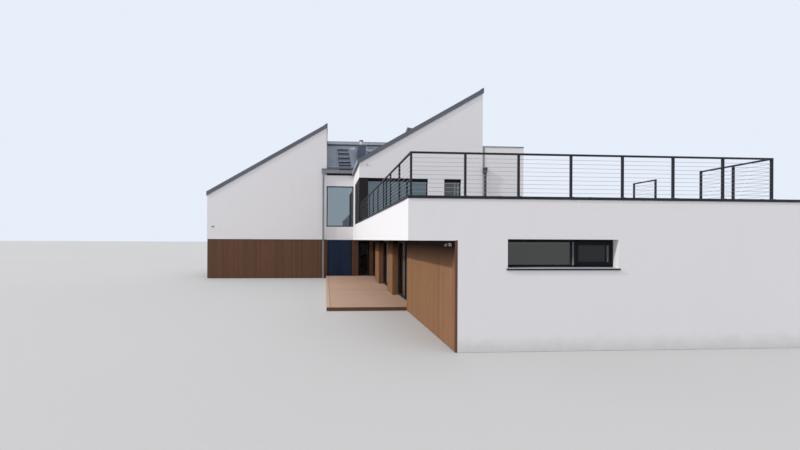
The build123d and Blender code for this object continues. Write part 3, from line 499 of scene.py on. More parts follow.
class Piece:
    """A mesh piece put together from boxes, folded sheets, turned parts and repeated bars."""

    def __init__(self, name):
        self.name = name
        self.mesh = bmesh.new()
        self.tone = self.mesh.verts.layers.float.new("tone")
        self.finishes = []

    def slot_of(self, name):
        if name not in self.finishes:
            self.finishes.append(name)
        return self.finishes.index(name)

    def _faces(self, faces, name):
        index = self.slot_of(name)
        for face in faces:
            face.material_index = index

    def box(self, low, high, name, bevel=0.0, tone=0.5):
        """Box between two site corners."""
        low, high = Vector(low), Vector(high)
        matrix = Matrix.Translation(site(*((low + high) / 2)))
        matrix @= Matrix.Diagonal((*(high - low), 1.0))
        made = bmesh.ops.create_cube(self.mesh, size=1.0, matrix=matrix)
        verts = made["verts"]
        for v in verts:
            v[self.tone] = tone
        faces = {f for v in verts for f in v.link_faces}
        self._faces(faces, name)
        if bevel:
            edges = list({e for v in verts for e in v.link_edges})
            made = bmesh.ops.bevel(self.mesh, geom=edges, offset=bevel, segments=2, profile=0.5,
                                   affect="EDGES", clamp_overlap=True)
            self._faces(made["faces"], name)

    def sheet(self, outline, origin, right, up, sweep, name):
        """Closed outline in the plane of right and up, swept along a vector. The origin is a site place."""
        right, up, sweep = Vector(right), Vector(up), Vector(sweep)
        start = site(*origin)
        rings = [[self.mesh.verts.new(start + right * u + up * v + step) for u, v in outline]
                 for step in (Vector((0, 0, 0)), sweep)]
        for ring in rings:
            for v in ring:
                v[self.tone] = 0.5
        faces = []
        for i in range(len(outline)):
            j = (i + 1) % len(outline)
            faces.append(self.mesh.faces.new((rings[0][i], rings[0][j], rings[1][j], rings[1][i])))
        faces.append(self.mesh.faces.new(rings[0]))
        faces.append(self.mesh.faces.new(rings[1]))
        bmesh.ops.recalc_face_normals(self.mesh, faces=faces)
        self._faces(faces, name)

    def rod(self, start, end, radius, name, sides=12, end_radius=None):
        """Round bar between two site places."""
        a, b = site(*start), site(*end)
        turn = (b - a).to_track_quat("Z", "Y").to_matrix().to_4x4()
        matrix = Matrix.Translation((a + b) / 2) @ turn
        made = bmesh.ops.create_cone(self.mesh, cap_ends=True, segments=sides, radius1=radius,
                                     radius2=radius if end_radius is None else end_radius,
                                     depth=(b - a).length, matrix=matrix)
        faces = {f for v in made["verts"] for f in v.link_faces}
        for face in faces:
            face.smooth = len(face.verts) == 4
        self._faces(faces, name)

    def bars(self, matrix, name, **sizes):
        """Rows of equal bars from the repeating node tree, laid with a matrix."""
        made = repeated_bars(finish=finish(name), **sizes)
        index = self.slot_of(name)
        made.transform(matrix)
        before = len(self.mesh.faces)
        self.mesh.from_mesh(made)
        self.mesh.faces.ensure_lookup_table()
        for face in self.mesh.faces[before:]:
            face.material_index = index
        self.tone = self.mesh.verts.layers.float.get("tone")
        bpy.data.meshes.remove(made)

    def done(self, body="house", replaces=(), slot=None):
        mesh = bpy.data.meshes.new(self.name)
        self.mesh.to_mesh(mesh)
        self.mesh.free()
        for name in self.finishes:
            mesh.materials.append(finish(name))
        piece = bpy.data.objects.new(self.name, mesh)
        bpy.context.scene.collection.objects.link(piece)
        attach(piece, body)
        if replaces:
            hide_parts(*replaces)
        return piece


BAR_INPUTS = (
    ("Width", "NodeSocketFloat", 0.1), ("Depth", "NodeSocketFloat", 0.02), ("Length", "NodeSocketFloat", 1.0),
    ("Edge Radius", "NodeSocketFloat", 0.002), ("Edge Steps", "NodeSocketInt", 2),
    ("Count", "NodeSocketInt", 1), ("Pitch", "NodeSocketFloat", 0.1),
    ("Rows", "NodeSocketInt", 1), ("Row Pitch", "NodeSocketFloat", 0.1), ("Seed", "NodeSocketInt", 0),
    ("Finish", "NodeSocketMaterial", None),
)


def bar_tree():
    """Node tree: a bar with eased edges, swept up, repeated along x and in rows along z."""
    tree = bpy.data.node_groups.get("repeated_bars")
    if tree:
        return tree
    tree = bpy.data.node_groups.new("repeated_bars", "GeometryNodeTree")
    tree.interface.new_socket(name="Geometry", in_out="INPUT", socket_type="NodeSocketGeometry")
    for name, kind, value in BAR_INPUTS:
        socket = tree.interface.new_socket(name=name, in_out="INPUT", socket_type=kind)
        if value is not None:
            socket.default_value = value
    tree.interface.new_socket(name="Geometry", in_out="OUTPUT", socket_type="NodeSocketGeometry")

    def add(kind, values=(), **settings):
        return add_node(tree, kind, values, settings)

    given = add("NodeGroupInput").outputs
    centre = add("ShaderNodeCombineXYZ", {
        0: add("ShaderNodeMath", {0: given["Width"], 1: 0.5}, operation="MULTIPLY").outputs[0],
        1: add("ShaderNodeMath", {0: given["Depth"], 1: 0.5}, operation="MULTIPLY").outputs[0],
        2: 0.0}).outputs[0]
    outline = add("GeometryNodeCurvePrimitiveQuadrilateral",
                  {"Width": given["Width"], "Height": given["Depth"]}).outputs[0]
    eased = add("GeometryNodeFilletCurve", {"Curve": outline, "Radius": given["Edge Radius"],
                                            "Count": given["Edge Steps"], "Limit Radius": True},
                mode="POLY").outputs[0]
    foot = add("GeometryNodeFillCurve", {"Curve": eased}, mode="NGONS").outputs[0]
    raised = add("GeometryNodeExtrudeMesh", {"Mesh": foot, "Offset": (0.0, 0.0, 1.0),
                                             "Offset Scale": given["Length"], "Individual": False},
                 mode="FACES").outputs[0]
    underside = add("GeometryNodeFlipFaces", {"Mesh": foot}).outputs[0]
    both = add("GeometryNodeJoinGeometry", {0: raised})
    tree.links.new(underside, both.inputs[0])
    closed = add("GeometryNodeMergeByDistance", {"Geometry": both.outputs[0], "Distance": 0.00002}).outputs[0]
    bar = add("GeometryNodeTransform", {"Geometry": closed, "Translation": centre}).outputs[0]
    row = add("GeometryNodeMeshLine", {
        "Count": given["Count"],
        "Offset": add("ShaderNodeCombineXYZ", {0: given["Pitch"], 1: 0.0, 2: 0.0}).outputs[0]}).outputs[0]
    column = add("GeometryNodeMeshLine", {
        "Count": given["Rows"],
        "Offset": add("ShaderNodeCombineXYZ", {0: 0.0, 1: 0.0, 2: given["Row Pitch"]}).outputs[0]}).outputs[0]
    grid = add("GeometryNodeInstanceOnPoints", {"Points": column, "Instance": row}).outputs[0]
    points = add("GeometryNodeRealizeInstances", {"Geometry": grid}).outputs[0]
    placed = add("GeometryNodeInstanceOnPoints", {"Points": points, "Instance": bar}).outputs[0]
    chance = add("FunctionNodeRandomValue", {"Seed": given["Seed"]}, data_type="FLOAT")
    value = [s for s in chance.outputs if s.type == "VALUE" and s.enabled][0]
    toned = add("GeometryNodeStoreNamedAttribute", {"Geometry": placed, "Name": "tone", "Value": value},
                data_type="FLOAT", domain="INSTANCE").outputs[0]
    real = add("GeometryNodeRealizeInstances", {"Geometry": toned}).outputs[0]
    coloured = add("GeometryNodeSetMaterial", {"Geometry": real, "Material": given["Finish"]}).outputs[0]
    add("NodeGroupOutput", {0: coloured})
    return tree


def repeated_bars(**sizes):
    """Mesh of the repeating tree with the given sizes."""
    tree = bar_tree()
    carrier = bpy.data.objects.new("bar_carrier", bpy.data.meshes.new("bar_carrier"))
    bpy.context.scene.collection.objects.link(carrier)
    modifier = carrier.modifiers.new("bars", "NODES")
    modifier.node_group = tree
    sockets = {s.name: s.identifier for s in tree.interface.items_tree if s.in_out == "INPUT"}
    for name, value in sizes.items():
        modifier[sockets[name.replace("_", " ").title()]] = value
    evaluated = carrier.evaluated_get(bpy.context.evaluated_depsgraph_get())
    mesh = bpy.data.meshes.new_from_object(evaluated)
    carrier.modifiers.remove(modifier)
    old = carrier.data
    bpy.data.objects.remove(carrier)
    bpy.data.meshes.remove(old)
    return mesh


# Board runs
def board_run(piece, origin, along, inwards, length, height, name, seed, width=None):
    """Upright boards over a wall face, fitted so that whole boards fill the length."""
    settings = bpy.context.scene.house_boarding
    count = max(1, round(length / (width or settings.board_width)))
    pitch = length / count
    matrix = axes(site(*origin), along, inwards, Z)
    piece.bars(matrix, name, width=pitch - settings.groove, depth=settings.board_depth, length=height,
               edge_radius=0.003, count=count, pitch=pitch, seed=seed)


def backing(piece, low, high):
    piece.box(low, high, "dark_backing")


def left_block_boards():
    """Boards round the lower storey of the left block, over a dark backing."""
    piece = Piece("left_block_boards")
    depth = bpy.context.scene.house_boarding.board_depth
    low, high = site_box("left_cladding")
    top = high.z
    outer_y, inner_y = low.y, low.y + CLADDING
    # Darker copy of the board stain: painted shade on the left block's boards.
    name = "shaded_boards"
    backing(piece, (low.x + depth, low.y + depth * 0.7, 0.0), (high.x, inner_y, top))
    board_run(piece, (low.x, outer_y, 0.02), X, Y, high.x - low.x, top - 0.02, name, 3)
    backing(piece, (low.x + depth * 0.7, inner_y, 0.0), (low.x + CLADDING, high.y - CLADDING, top))
    board_run(piece, (low.x, high.y, 0.02), (0, -1, 0), X, high.y - low.y, top - 0.02, name, 5)
    openings = [(-6.9, -5.0), (-3.7, -1.8)]
    start = low.x
    for index, (left, right) in enumerate([*openings, (high.x, high.x)]):
        spans = [(start, left, 0.02, top)]
        if right > left:
            spans += [(left, right, 0.02, 1.06), (left, right, 2.5, top)]
        for x0, x1, z0, z1 in spans:
            backing(piece, (x0, high.y - CLADDING, z0 - 0.02 if z0 < 0.1 else z0),
                    (x1, high.y - depth * 0.7, z1))
            board_run(piece, (x1, high.y, z0), (-1, 0, 0), (0, -1, 0), x1 - x0, z1 - z0, name, 7 + index)
        start = right
    return piece.done(replaces=["left_cladding"], slot="boards")


def terrace_wall_boards():
    """Boards over the piers under the overhang, turned into the reveals of the glazed bays."""
    piece = Piece("terrace_wall_boards")
    depth = bpy.context.scene.house_boarding.board_depth
    low, high = site_box("terrace_cladding")
    name = "terrace_boards"
    edges = [0.0]
    for start in BAY_Y:
        edges += [start, start + BAY]
    for index in range(0, len(edges) - 1, 2):
        y0, y1 = edges[index], edges[index + 1]
        backing(piece, (low.x + depth * 0.7, y0 + 0.004, 0.0), (low.x + CLADDING, y1 - 0.004, SOFFIT))
        board_run(piece, (low.x, y1, 0.015), (0, -1, 0), X, y1 - y0 - 0.024 * (index == 0),
                  SOFFIT - 0.015, name, 21 + index)
        reveal = high.x - low.x - CLADDING
        backing(piece, (low.x + CLADDING, y1 - CLADDING, 0.0), (high.x, y1 - depth * 0.7, SOFFIT))
        board_run(piece, (high.x, y1, FLOOR), (-1, 0, 0), (0, -1, 0), reveal + CLADDING - depth,
                  SOFFIT - FLOOR, name, 31 + index)
        if y0 > 0:
            backing(piece, (low.x + CLADDING, y0 + depth * 0.7, 0.0), (high.x, y0 + CLADDING, SOFFIT))
            board_run(piece, (low.x + depth, y0, FLOOR), X, Y, reveal + CLADDING - depth,
                      SOFFIT - FLOOR, name, 41 + index)
    # Front edge in the darker copy of the stain: painted shade on the face that the sun only grazes.
    piece.box((low.x, -0.001, 0.0), (low.x + CLADDING, 0.022, SOFFIT), "shaded_boards", bevel=0.003)
    return piece.done(replaces=["terrace_cladding"], slot="boards")


def rear_wall_boards():
    """Boarded piers at the back of the covered terrace."""
    piece = Piece("rear_wall_boards")
    depth = bpy.context.scene.house_boarding.board_depth
    front = MAIN_Y + 0.06
    back = MAIN_Y + WALL
    # The rear boards take the darker copy of the stain: painted shade at the back of the covered terrace.
    piece.box((0.0, front, 0.0), (0.08, back, SOFFIT), "shaded_boards", bevel=0.003)
    backing(piece, (1.83, front + depth * 0.7, 0.0), (2.29, back, SOFFIT))
    board_run(piece, (1.83, front, FLOOR), X, Y, 0.46, SOFFIT - FLOOR, "shaded_boards", 51)
    corner = site_box("rear_piers")[1].x
    left = site_box("terrace_cladding")[0].x
    backing(piece, (left + depth * 0.7, MAIN_Y + depth * 0.7, 0.0), (corner, back, SOFFIT))
    board_run(piece, (left, MAIN_Y, 0.0), X, Y, corner - left, SOFFIT, "shaded_boards", 52)
    board_run(piece, (left, back, FLOOR), (0, -1, 0), X, WALL - depth, SOFFIT - FLOOR, "shaded_boards", 53)
    return piece.done(replaces=["rear_piers"], slot="boards")


def deck():
    """Deck boards across the depth inside a lighter border, with face boards below the edges."""
    piece = Piece("terrace_deck")
    settings = bpy.context.scene.house_boarding
    low, high = site_box("deck_boards")
    width, gap = settings.deck_width, settings.deck_gap
    name = "deck_wood"
    field_x, field_y = low.x + width + 2 * gap, low.y + width + 2 * gap
    piece.box((low.x, low.y, low.z), (low.x + width, high.y, high.z), name, bevel=0.003, tone=0.0)
    piece.box((field_x, low.y, low.z), (high.x, low.y + width, high.z), name, bevel=0.003, tone=0.1)
    count = round((high.y - field_y) / (width + gap))
    pitch = (high.y - field_y) / count
    matrix = axes(site(high.x, field_y, high.z), Y, (0, 0, -1), (-1, 0, 0))
    piece.bars(matrix, name, width=pitch - gap, depth=high.z - low.z, length=high.x - field_x,
               edge_radius=0.003,
               count=count, pitch=pitch, seed=60)
    # Face boards below the deck edges in the darker copy of the stain: painted shade.
    for corner in ((high.x, low.y + 0.018, low.z - 0.002), (low.x + 0.018, high.y, low.z - 0.002)):
        piece.box((low.x - 0.004, low.y - 0.004, 0.0), corner, "shaded_boards", bevel=0.002)
    for start in BAY_Y:
        first = start + CLADDING
        rows = round((BAY - 2 * CLADDING) / pitch)
        step = (BAY - 2 * CLADDING) / rows
        matrix = axes(site(GLAZING_X - 0.004, first, high.z), Y, (0, 0, -1), (-1, 0, 0))
        piece.bars(matrix, name, width=step - gap, depth=high.z - low.z,
                   length=GLAZING_X - 0.004 - high.x - gap,
                   edge_radius=0.003, count=rows, pitch=step, seed=64)
    return piece.done(replaces=["deck_boards"], slot="deck")


# Roofs
def mono_roof_sheets(name, node, wall_low_x, underside, pitch, gutter_end_y):
    """Standing seams, flashings round the edges and cover straps of one mono-pitch roof."""
    piece = Piece(name)
    settings = bpy.context.scene.house_roofs
    low, high = site_box(node)
    slope = math.tan(pitch)
    up = Vector((math.cos(pitch), 0, math.sin(pitch)))
    out = Vector((-math.sin(pitch), 0, math.cos(pitch)))

    def top(x):
        return underside + (x - wall_low_x) * slope + ROOF

    length = (high.x - low.x) / math.cos(pitch)
    depth = high.y - low.y
    count = round(depth / settings.tray_width)
    pitch_y = depth / count
    start = Vector((low.x, low.y + pitch_y, top(low.x) - 0.004))
    matrix = axes(site(*start), Y, out, up)
    piece.bars(matrix, "block_trays", width=0.011, depth=settings.seam_height, length=length - 0.03,
               edge_radius=0.004, count=count - 1, pitch=pitch_y, seed=1)
    wide = high.x - low.x

    def band(z0, z1):
        """Outline that follows the slope between two heights over the roof's top."""
        return [(0.0, z0), (wide, wide * slope + z0), (wide, wide * slope + z1), (0.0, z1)]

    for y, sign in ((low.y, -1), (high.y, 1)):
        foot = (low.x, y, top(low.x))
        piece.sheet(band(-ROOF - 0.003, 0.006), foot, X, Z, (0, sign * 0.006, 0), "verge_metal")
        piece.sheet(band(-ROOF - 0.006, -ROOF + 0.05), foot, X, Z, (0, sign * 0.014, 0),
                    "verge_metal")
        piece.sheet(band(0.002, 0.010), (low.x, y + sign * 0.010, top(low.x)), X, Z,
                    (0, -sign * 0.17, 0), "verge_metal")
        straps = int(wide / 2.4)
        for i in range(1, straps + 1):
            x = wide * i / (straps + 1)
            strap = [(x - 0.004, x * slope - ROOF - 0.004), (x + 0.004, x * slope - ROOF - 0.004),
                     (x + 0.004, x * slope + 0.010), (x - 0.004, x * slope + 0.010)]
            piece.sheet(strap, foot, X, Z, (0, sign * 0.0085, 0), "verge_metal")
    high_top = top(high.x)
    ridge = [(0.002, -ROOF - 0.004), (0.010, -ROOF - 0.010), (0.010, 0.036), (-0.20, 0.036 - 0.20 * slope),
             (-0.20, 0.028 - 0.20 * slope), (0.002, 0.028)]
    piece.sheet(ridge, (high.x, low.y - 0.014, high_top), X, Z, (0, depth + 0.028, 0),
                "verge_metal")
    low_top = top(low.x)
    end_y = low.y + (gutter_end_y - low.y if gutter_end_y else depth)
    eave = [(-0.002, -ROOF + 0.06), (-0.010, -ROOF + 0.055), (-0.010, 0.010), (0.10, 0.010 + 0.11 * slope),
            (0.10, 0.004 + 0.11 * slope), (-0.002, 0.004)]
    drip = [(-0.002, -ROOF - 0.006), (-0.007, -ROOF - 0.010), (-0.007, -ROOF + 0.055), (-0.002, -ROOF + 0.06)]
    piece.sheet(eave, (low.x, low.y - 0.010, low_top), X, Z, (0, end_y - low.y + 0.01, 0),
                "bright_metal")
    piece.sheet(drip, (low.x, low.y - 0.010, low_top), X, Z, (0, end_y - low.y + 0.01, 0),
                "dark_coat_and_painted_shade")
    return piece


def left_roof_sheets():
    piece = mono_roof_sheets("left_roof_sheets", "left_roof", LEFT_X, LEFT_EAVE, LEFT_PITCH, None)
    dress(["left_roof"], "block_trays")
    return piece.done(slot="roof_metal")


def right_roof_sheets():
    piece = mono_roof_sheets("right_roof_sheets", "right_roof", LINK_X, RIGHT_EAVE, RIGHT_PITCH,
                             MAIN_Y - 0.165)
    dress(["right_roof"], "block_trays")
    return piece.done(slot="roof_metal")


LINK_EAVE_TOP = LINK_EAVE + ROOF
LINK_UP = Vector((0, math.cos(LINK_PITCH), math.sin(LINK_PITCH)))
LINK_OUT = Vector((0, -math.sin(LINK_PITCH), math.cos(LINK_PITCH)))


def link_top(y):
    return LINK_EAVE_TOP + min(y - MAIN_Y, BACK_Y - y) * math.tan(LINK_PITCH)


def right_top(x):
    return RIGHT_EAVE + (x - LINK_X) * math.tan(RIGHT_PITCH) + ROOF


def link_roof_sheets():
    """Seams on both slopes of the link's roof, cut where it runs into the right block, and the ridge."""
    piece = Piece("link_roof_sheets")
    settings = bpy.context.scene.house_roofs
    ridge_y = (MAIN_Y + BACK_Y) / 2
    slope = math.tan(LINK_PITCH)
    ridge_z = link_top(ridge_y)
    end_x = LINK_X + (ridge_z - ROOF - RIGHT_EAVE) / math.tan(RIGHT_PITCH)
    count = int((end_x - 0.05) / settings.tray_width)
    for number in range(1, count + 1):
        x = number * settings.tray_width - 0.1
        clear = max(0.0, (right_top(x) - LINK_EAVE_TOP) / slope + 0.03) if x > LINK_X else 0.0
        run = (ridge_y - MAIN_Y - clear - 0.12) / math.cos(LINK_PITCH)
        if run < 0.2:
            continue
        for sign, eave_y in ((1, MAIN_Y), (-1, BACK_Y)):
            foot_y = eave_y + sign * clear
            up = (0, sign * math.cos(LINK_PITCH), math.sin(LINK_PITCH))
            out = (0, -sign * math.sin(LINK_PITCH), math.cos(LINK_PITCH))
            along = X if sign > 0 else (-1, 0, 0)
            matrix = axes(site(x, foot_y, link_top(foot_y) - 0.004), along, out, up)
            piece.bars(matrix, "link_trays", width=0.012, depth=settings.seam_height, length=run,
                       edge_radius=0.004)
    foot = [(-0.012, -0.01), (0.20, 0.20 * slope - 0.004), (0.20, 0.20 * slope + 0.006), (-0.012, 0.008)]
    piece.sheet(foot, (0.0, MAIN_Y, LINK_EAVE_TOP), Y, Z, (LINK_X, 0, 0), "link_trays")
    wall_flash = [(0.0, 0.0), (0.10, 0.0), (0.10, 0.008), (0.010, 0.012), (0.010, 0.11), (0.0, 0.11)]
    up, out = LINK_UP.copy(), LINK_OUT.copy()
    length = (ridge_y - MAIN_Y) / math.cos(LINK_PITCH)
    piece.sheet(wall_flash, (0.0, MAIN_Y, LINK_EAVE_TOP), X, out, up * length, "gutter_metal")
    up.y, out.y = -up.y, -out.y
    piece.sheet(wall_flash, (0.0, BACK_Y, LINK_EAVE_TOP), X, out, up * length, "gutter_metal")
    dress(["link_roof_front", "link_roof_back"], "link_trays")
    return piece.done(slot="roof_metal")


def link_ridge_cap():
    """Vented ridge of the link's roof: a light folded cap over a dark comb, with perforated strips below."""
    piece = Piece("link_ridge_cap")
    low, high = site_box("link_ridge")
    slope = math.tan(LINK_PITCH)
    ridge_y = (low.y + high.y) / 2
    ridge_z = link_top(ridge_y)
    reach = (high.y - low.y) / 2
    rise = high.z - ridge_z
    length = high.x - low.x - 0.04
    edge = -reach * slope
    outer = [(-reach, edge + rise - 0.075), (-reach, edge + rise), (0.0, rise), (reach, edge + rise),
             (reach, edge + rise - 0.075)]
    inner = [(reach - 0.006, edge + rise - 0.075), (reach - 0.006, edge + rise - 0.006), (0.0, rise - 0.007),
             (0.006 - reach, edge + rise - 0.006), (0.006 - reach, edge + rise - 0.075)]
    piece.sheet(outer + inner, (low.x + 0.002, ridge_y, ridge_z), Y, Z, (length, 0, 0), "bright_metal")
    core = reach - 0.015
    comb = [(-core, -core * slope - 0.005), (-core, -core * slope + rise - 0.03), (0.0, rise - 0.012),
            (core, -core * slope + rise - 0.03), (core, -core * slope - 0.005), (0.0, -0.005)]
    piece.sheet(comb, (low.x + 0.004, ridge_y, ridge_z), Y, Z, (length, 0, 0), "comb_mesh")
    for sign in (-1, 1):
        strip = [(sign * reach, edge - 0.003), (sign * (reach + 0.17), edge - 0.17 * slope - 0.003),
                 (sign * (reach + 0.17), edge - 0.17 * slope + 0.005), (sign * reach, edge + 0.012)]
        piece.sheet(strip, (low.x + 0.002, ridge_y, ridge_z), Y, Z, (length - 0.3, 0, 0), "comb_mesh")
    joints = int(length / 2.0)
    for i in range(1, joints + 1):
        x = low.x + length * i / (joints + 1)
        strap = [(v * 1.012, w + 0.002) for v, w in outer] + inner
        piece.sheet(strap, (x, ridge_y, ridge_z), Y, Z, (0.06, 0, 0), "bright_metal")
    crest = [(-0.035, rise - 0.03), (-0.03, rise + 0.11), (0.0, rise + 0.12), (0.03, rise + 0.11),
             (0.035, rise - 0.03)]
    piece.sheet(crest, (low.x + 0.002, ridge_y, ridge_z), Y, Z, (length, 0, 0), "bright_metal")
    return piece.done(replaces=["link_ridge"], slot="roof_metal")


def roof_steps():
    """Grated steps up the link's roof, on two side rails with feet, with a rest over the gutter."""
    piece = Piece("roof_steps")
    x0, x1 = 0.88, 1.75
    lift = 0.10
    places = (18.03, 18.61, 19.48, 20.43, 21.31)
    first, last = places[0] - 0.1, places[-1] + 0.2
    for x in (x0 + 0.02, x1 - 0.02):
        ends = [Vector((x, y, link_top(y))) + LINK_OUT * 0.05 for y in (first, last)]
        piece.rod(*ends, 0.011, "gutter_metal", sides=8)
    for y in places:
        z = link_top(y)
        for bar in range(5):
            offset = bar * 0.05
            piece.box((x0, y - 0.006 + offset, z + lift), (x1, y + 0.006 + offset, z + lift + 0.03),
                      "dark_coat_and_painted_shade")
        for step in range(9):
            x = x0 + (x1 - x0) * step / 8
            piece.box((x - 0.003, y - 0.004, z + lift + 0.004), (x + 0.003, y + 0.204, z + lift + 0.022),
                      "dark_coat_and_painted_shade")
        for x in (x0, x1 - 0.012):
            piece.box((x, y - 0.02, z + lift - 0.02), (x + 0.012, y + 0.22, z + lift + 0.04), "dark_coat_and_painted_shade",
                      bevel=0.002)
            piece.box((x, y, z - 0.01), (x + 0.012, y + 0.035, z + lift), "dark_coat_and_painted_shade")
    gutter_y = site_box("link_gutter")[0].y
    piece.box((x0, gutter_y - 0.012, 7.665), (x1 - 0.02, gutter_y + 0.05, 7.735), "dark_coat_and_painted_shade", bevel=0.003)
    return piece.done(slot="roof_metal")


def roof_window_units():
    """Roof windows with flashing frames, glazing and a light blind behind the glass."""
    piece = Piece("roof_window_units")
    low, high = site_box("roof_windows")
    length = (high.y - low.y) / math.cos(LINK_PITCH)
    for x0 in (low.x, high.x - 0.68):
        origin = Vector((x0, low.y, link_top(low.y)))

        def slab(u0, u1, v0, v1, w0, w1, name):
            outline = [(u0, w0), (u1, w0), (u1, w1), (u0, w1)]
            piece.sheet(outline, origin + LINK_UP * v0, X, LINK_OUT, LINK_UP * (v1 - v0), name)

        slab(-0.05, 0.73, -0.08, length + 0.05, 0.0, 0.012, "gutter_metal")
        slab(0.0, 0.06, 0.0, length, 0.0, 0.085, "gutter_metal")
        slab(0.62, 0.68, 0.0, length, 0.0, 0.085, "gutter_metal")
        slab(0.06, 0.62, 0.0, 0.08, 0.0, 0.08, "gutter_metal")
        slab(0.06, 0.62, length - 0.10, length, 0.0, 0.10, "gutter_metal")
        slab(0.06, 0.62, 0.08, length - 0.10, 0.0, 0.035, "joint_metal")
        slab(0.06, 0.62, 0.08, length - 0.10, 0.045, 0.06, "sky_glass")
        for i in range(5):
            v = 0.2 + i * 0.18
            slab(0.06, 0.62, v, v + 0.03, 0.036, 0.044, "gutter_metal")
    return piece.done(replaces=["roof_windows"], slot="frame")


def chimney_cladding():
    """Folded sheets and a capped rim on the chimney, an apron before its foot and a small hatch."""
    piece = Piece("chimney_cladding")
    low, high = site_box("chimney")
    slope = math.tan(LINK_PITCH)
    wide = high.x - low.x
    for number in range(1, 3):
        x = low.x + wide * number / 3
        piece.box((x - 0.006, low.y - 0.022, low.z), (x + 0.006, low.y, high.z - 0.03), "chimney_metal",
                  bevel=0.002)
    piece.box((low.x - 0.03, low.y - 0.03, high.z - 0.02), (high.x + 0.03, high.y + 0.03, high.z + 0.018),
              "verge_metal", bevel=0.004)
    apron = [(-0.02, 0.0), (wide + 0.02, 0.0), (wide - 0.08, -1.5), (-0.14, -1.5)]
    piece.sheet(apron, (low.x, low.y, low.z), X, LINK_UP, LINK_OUT * 0.02, "chimney_metal")
    piece.box((low.x - 0.02, low.y - 0.012, low.z), (high.x + 0.02, low.y, low.z + 0.10), "chimney_metal",
              bevel=0.003)
    cheek = [(0.0, 0.02), (high.y - low.y - 0.03, high.z - low.z - 0.03), (0.0, high.z - low.z - 0.03)]
    piece.sheet(cheek, (low.x - 0.006, low.y, low.z), Y, Z, (0.006, 0, 0), "bright_metal")
    hatch = [(-0.2, -0.2 * slope), (0.2, 0.2 * slope), (0.2, 0.2 * slope + 0.09), (-0.2, -0.2 * slope + 0.09)]
    y = 21.7
    piece.sheet(hatch, (1.95, y, link_top(y)), Y, Z, (0.34, 0, 0), "bright_metal")
    dress(["chimney"], "chimney_metal")
    return piece.done(slot="roof_metal")


def flue_and_cowl():
    """Round flue with a collar and rain cap, and the trimmed cowl on the right block's roof."""
    piece = Piece("flue_with_cap")
    low, high = site_box("roof_vent")
    x, y = (low.x + high.x) / 2, (low.y + high.y) / 2
    piece.rod((x, y, low.z), (x, y, low.z + 0.05), 0.13, "lamp_coat", sides=32, end_radius=0.095)
    piece.rod((x, y, low.z + 0.03), (x, y, high.z - 0.13), 0.125, "lamp_coat", sides=32)
    piece.rod((x, y, high.z - 0.15), (x, y, high.z - 0.13), 0.135, "lamp_coat", sides=32)
    for angle in (0.5, 2.6, 4.7):
        dx, dy = 0.075 * math.cos(angle), 0.075 * math.sin(angle)
        piece.rod((x + dx, y + dy, high.z - 0.14), (x + dx, y + dy, high.z - 0.05), 0.006, "steel", sides=8)
    piece.rod((x, y, high.z - 0.12), (x, y, high.z - 0.05), 0.161, "pipe_metal", sides=40)
    piece.rod((x, y, high.z - 0.05), (x, y, high.z - 0.015), 0.161, "pipe_metal", sides=40, end_radius=0.03)
    piece.done(replaces=["roof_vent"], slot="trim_metal")
    trim = Piece("cowl_trim")
    low, high = site_box("roof_cowl")
    width = high.x - low.x
    cap = 0.12
    top = high.z - cap
    trim.box((low.x + width / 3 - 0.02, low.y - 0.02, top - 0.012),
             (high.x + 0.02, high.y + 0.02, top + 0.012),
             "gutter_metal", bevel=0.004)
    trim.box((low.x + width / 3 - 0.01, low.y + width / 3 - 0.01, top + 0.01),
             (low.x + width * 2 / 3 + 0.01, low.y + width * 2 / 3 + 0.01, high.z + 0.012), "bright_metal",
             bevel=0.006)
    for i in range(5):
        z = top - 0.12 - i * 0.07
        trim.box((high.x - 0.004, low.y + 0.08, z), (high.x + 0.012, high.y - 0.08, z + 0.03), "verge_metal",
                 bevel=0.003)
    dress(["roof_cowl"], "verge_metal")
    return trim.done(slot="trim_metal")


# Rainwater goods
def gutter():
    """Box gutter with a rolled front edge, brackets and stop ends, in front of a fascia."""
    piece = Piece("link_box_gutter")
    low, high = site_box("link_gutter")
    wall = 0.006
    front, back = low.y, high.y - 0.012
    foot, top = 7.43, 7.75
    tall = top - foot
    name = "gutter_metal"
    section = [(0.0, 0.0), (back - front, 0.0), (back - front, tall), (back - front - wall, tall),
               (back - front - wall, wall), (wall, wall), (wall, tall - 0.008), (0.018, tall - 0.008),
               (0.018, tall),
               (0.0, tall)]
    piece.sheet(section, (low.x, front, foot), Y, Z, (high.x - low.x, 0, 0), name)
    for x in (low.x, high.x - wall):
        piece.box((x, front, foot), (x + wall, back, top), name)
    piece.box((low.x - 0.003, front - 0.007, foot + 0.235), (high.x, front + 0.002, top + 0.002),
              "verge_metal",
              bevel=0.003)
    for i in range(4):
        x = low.x + 0.25 + i * (high.x - low.x - 0.5) / 3
        piece.box((x - 0.012, front - 0.002, foot - 0.003), (x + 0.012, back, foot + 0.004), name)
        piece.box((x - 0.012, front + 0.004, top - 0.006), (x + 0.012, back, top), name)
    piece.box((low.x + 0.33, front - 0.001, foot - 0.001), (low.x + 0.335, front + 0.001, top), "verge_metal")
    piece.box((0.0, MAIN_Y - 0.012, foot), (LINK_X, MAIN_Y, high.z), "verge_metal", bevel=0.001)
    # Near-black fascia and strip under the gutter: painted shade below it.
    piece.box((0.0, MAIN_Y - 0.03, low.z), (LINK_X, MAIN_Y - 0.001, foot + 0.02), "dark_coat_and_painted_shade", bevel=0.003)
    piece.box((0.0, MAIN_Y - 0.10, foot - 0.045), (LINK_X, MAIN_Y - 0.03, foot - 0.004), "dark_coat_and_painted_shade",
              bevel=0.003)
    return piece.done(replaces=["link_gutter"], slot="trim_metal")


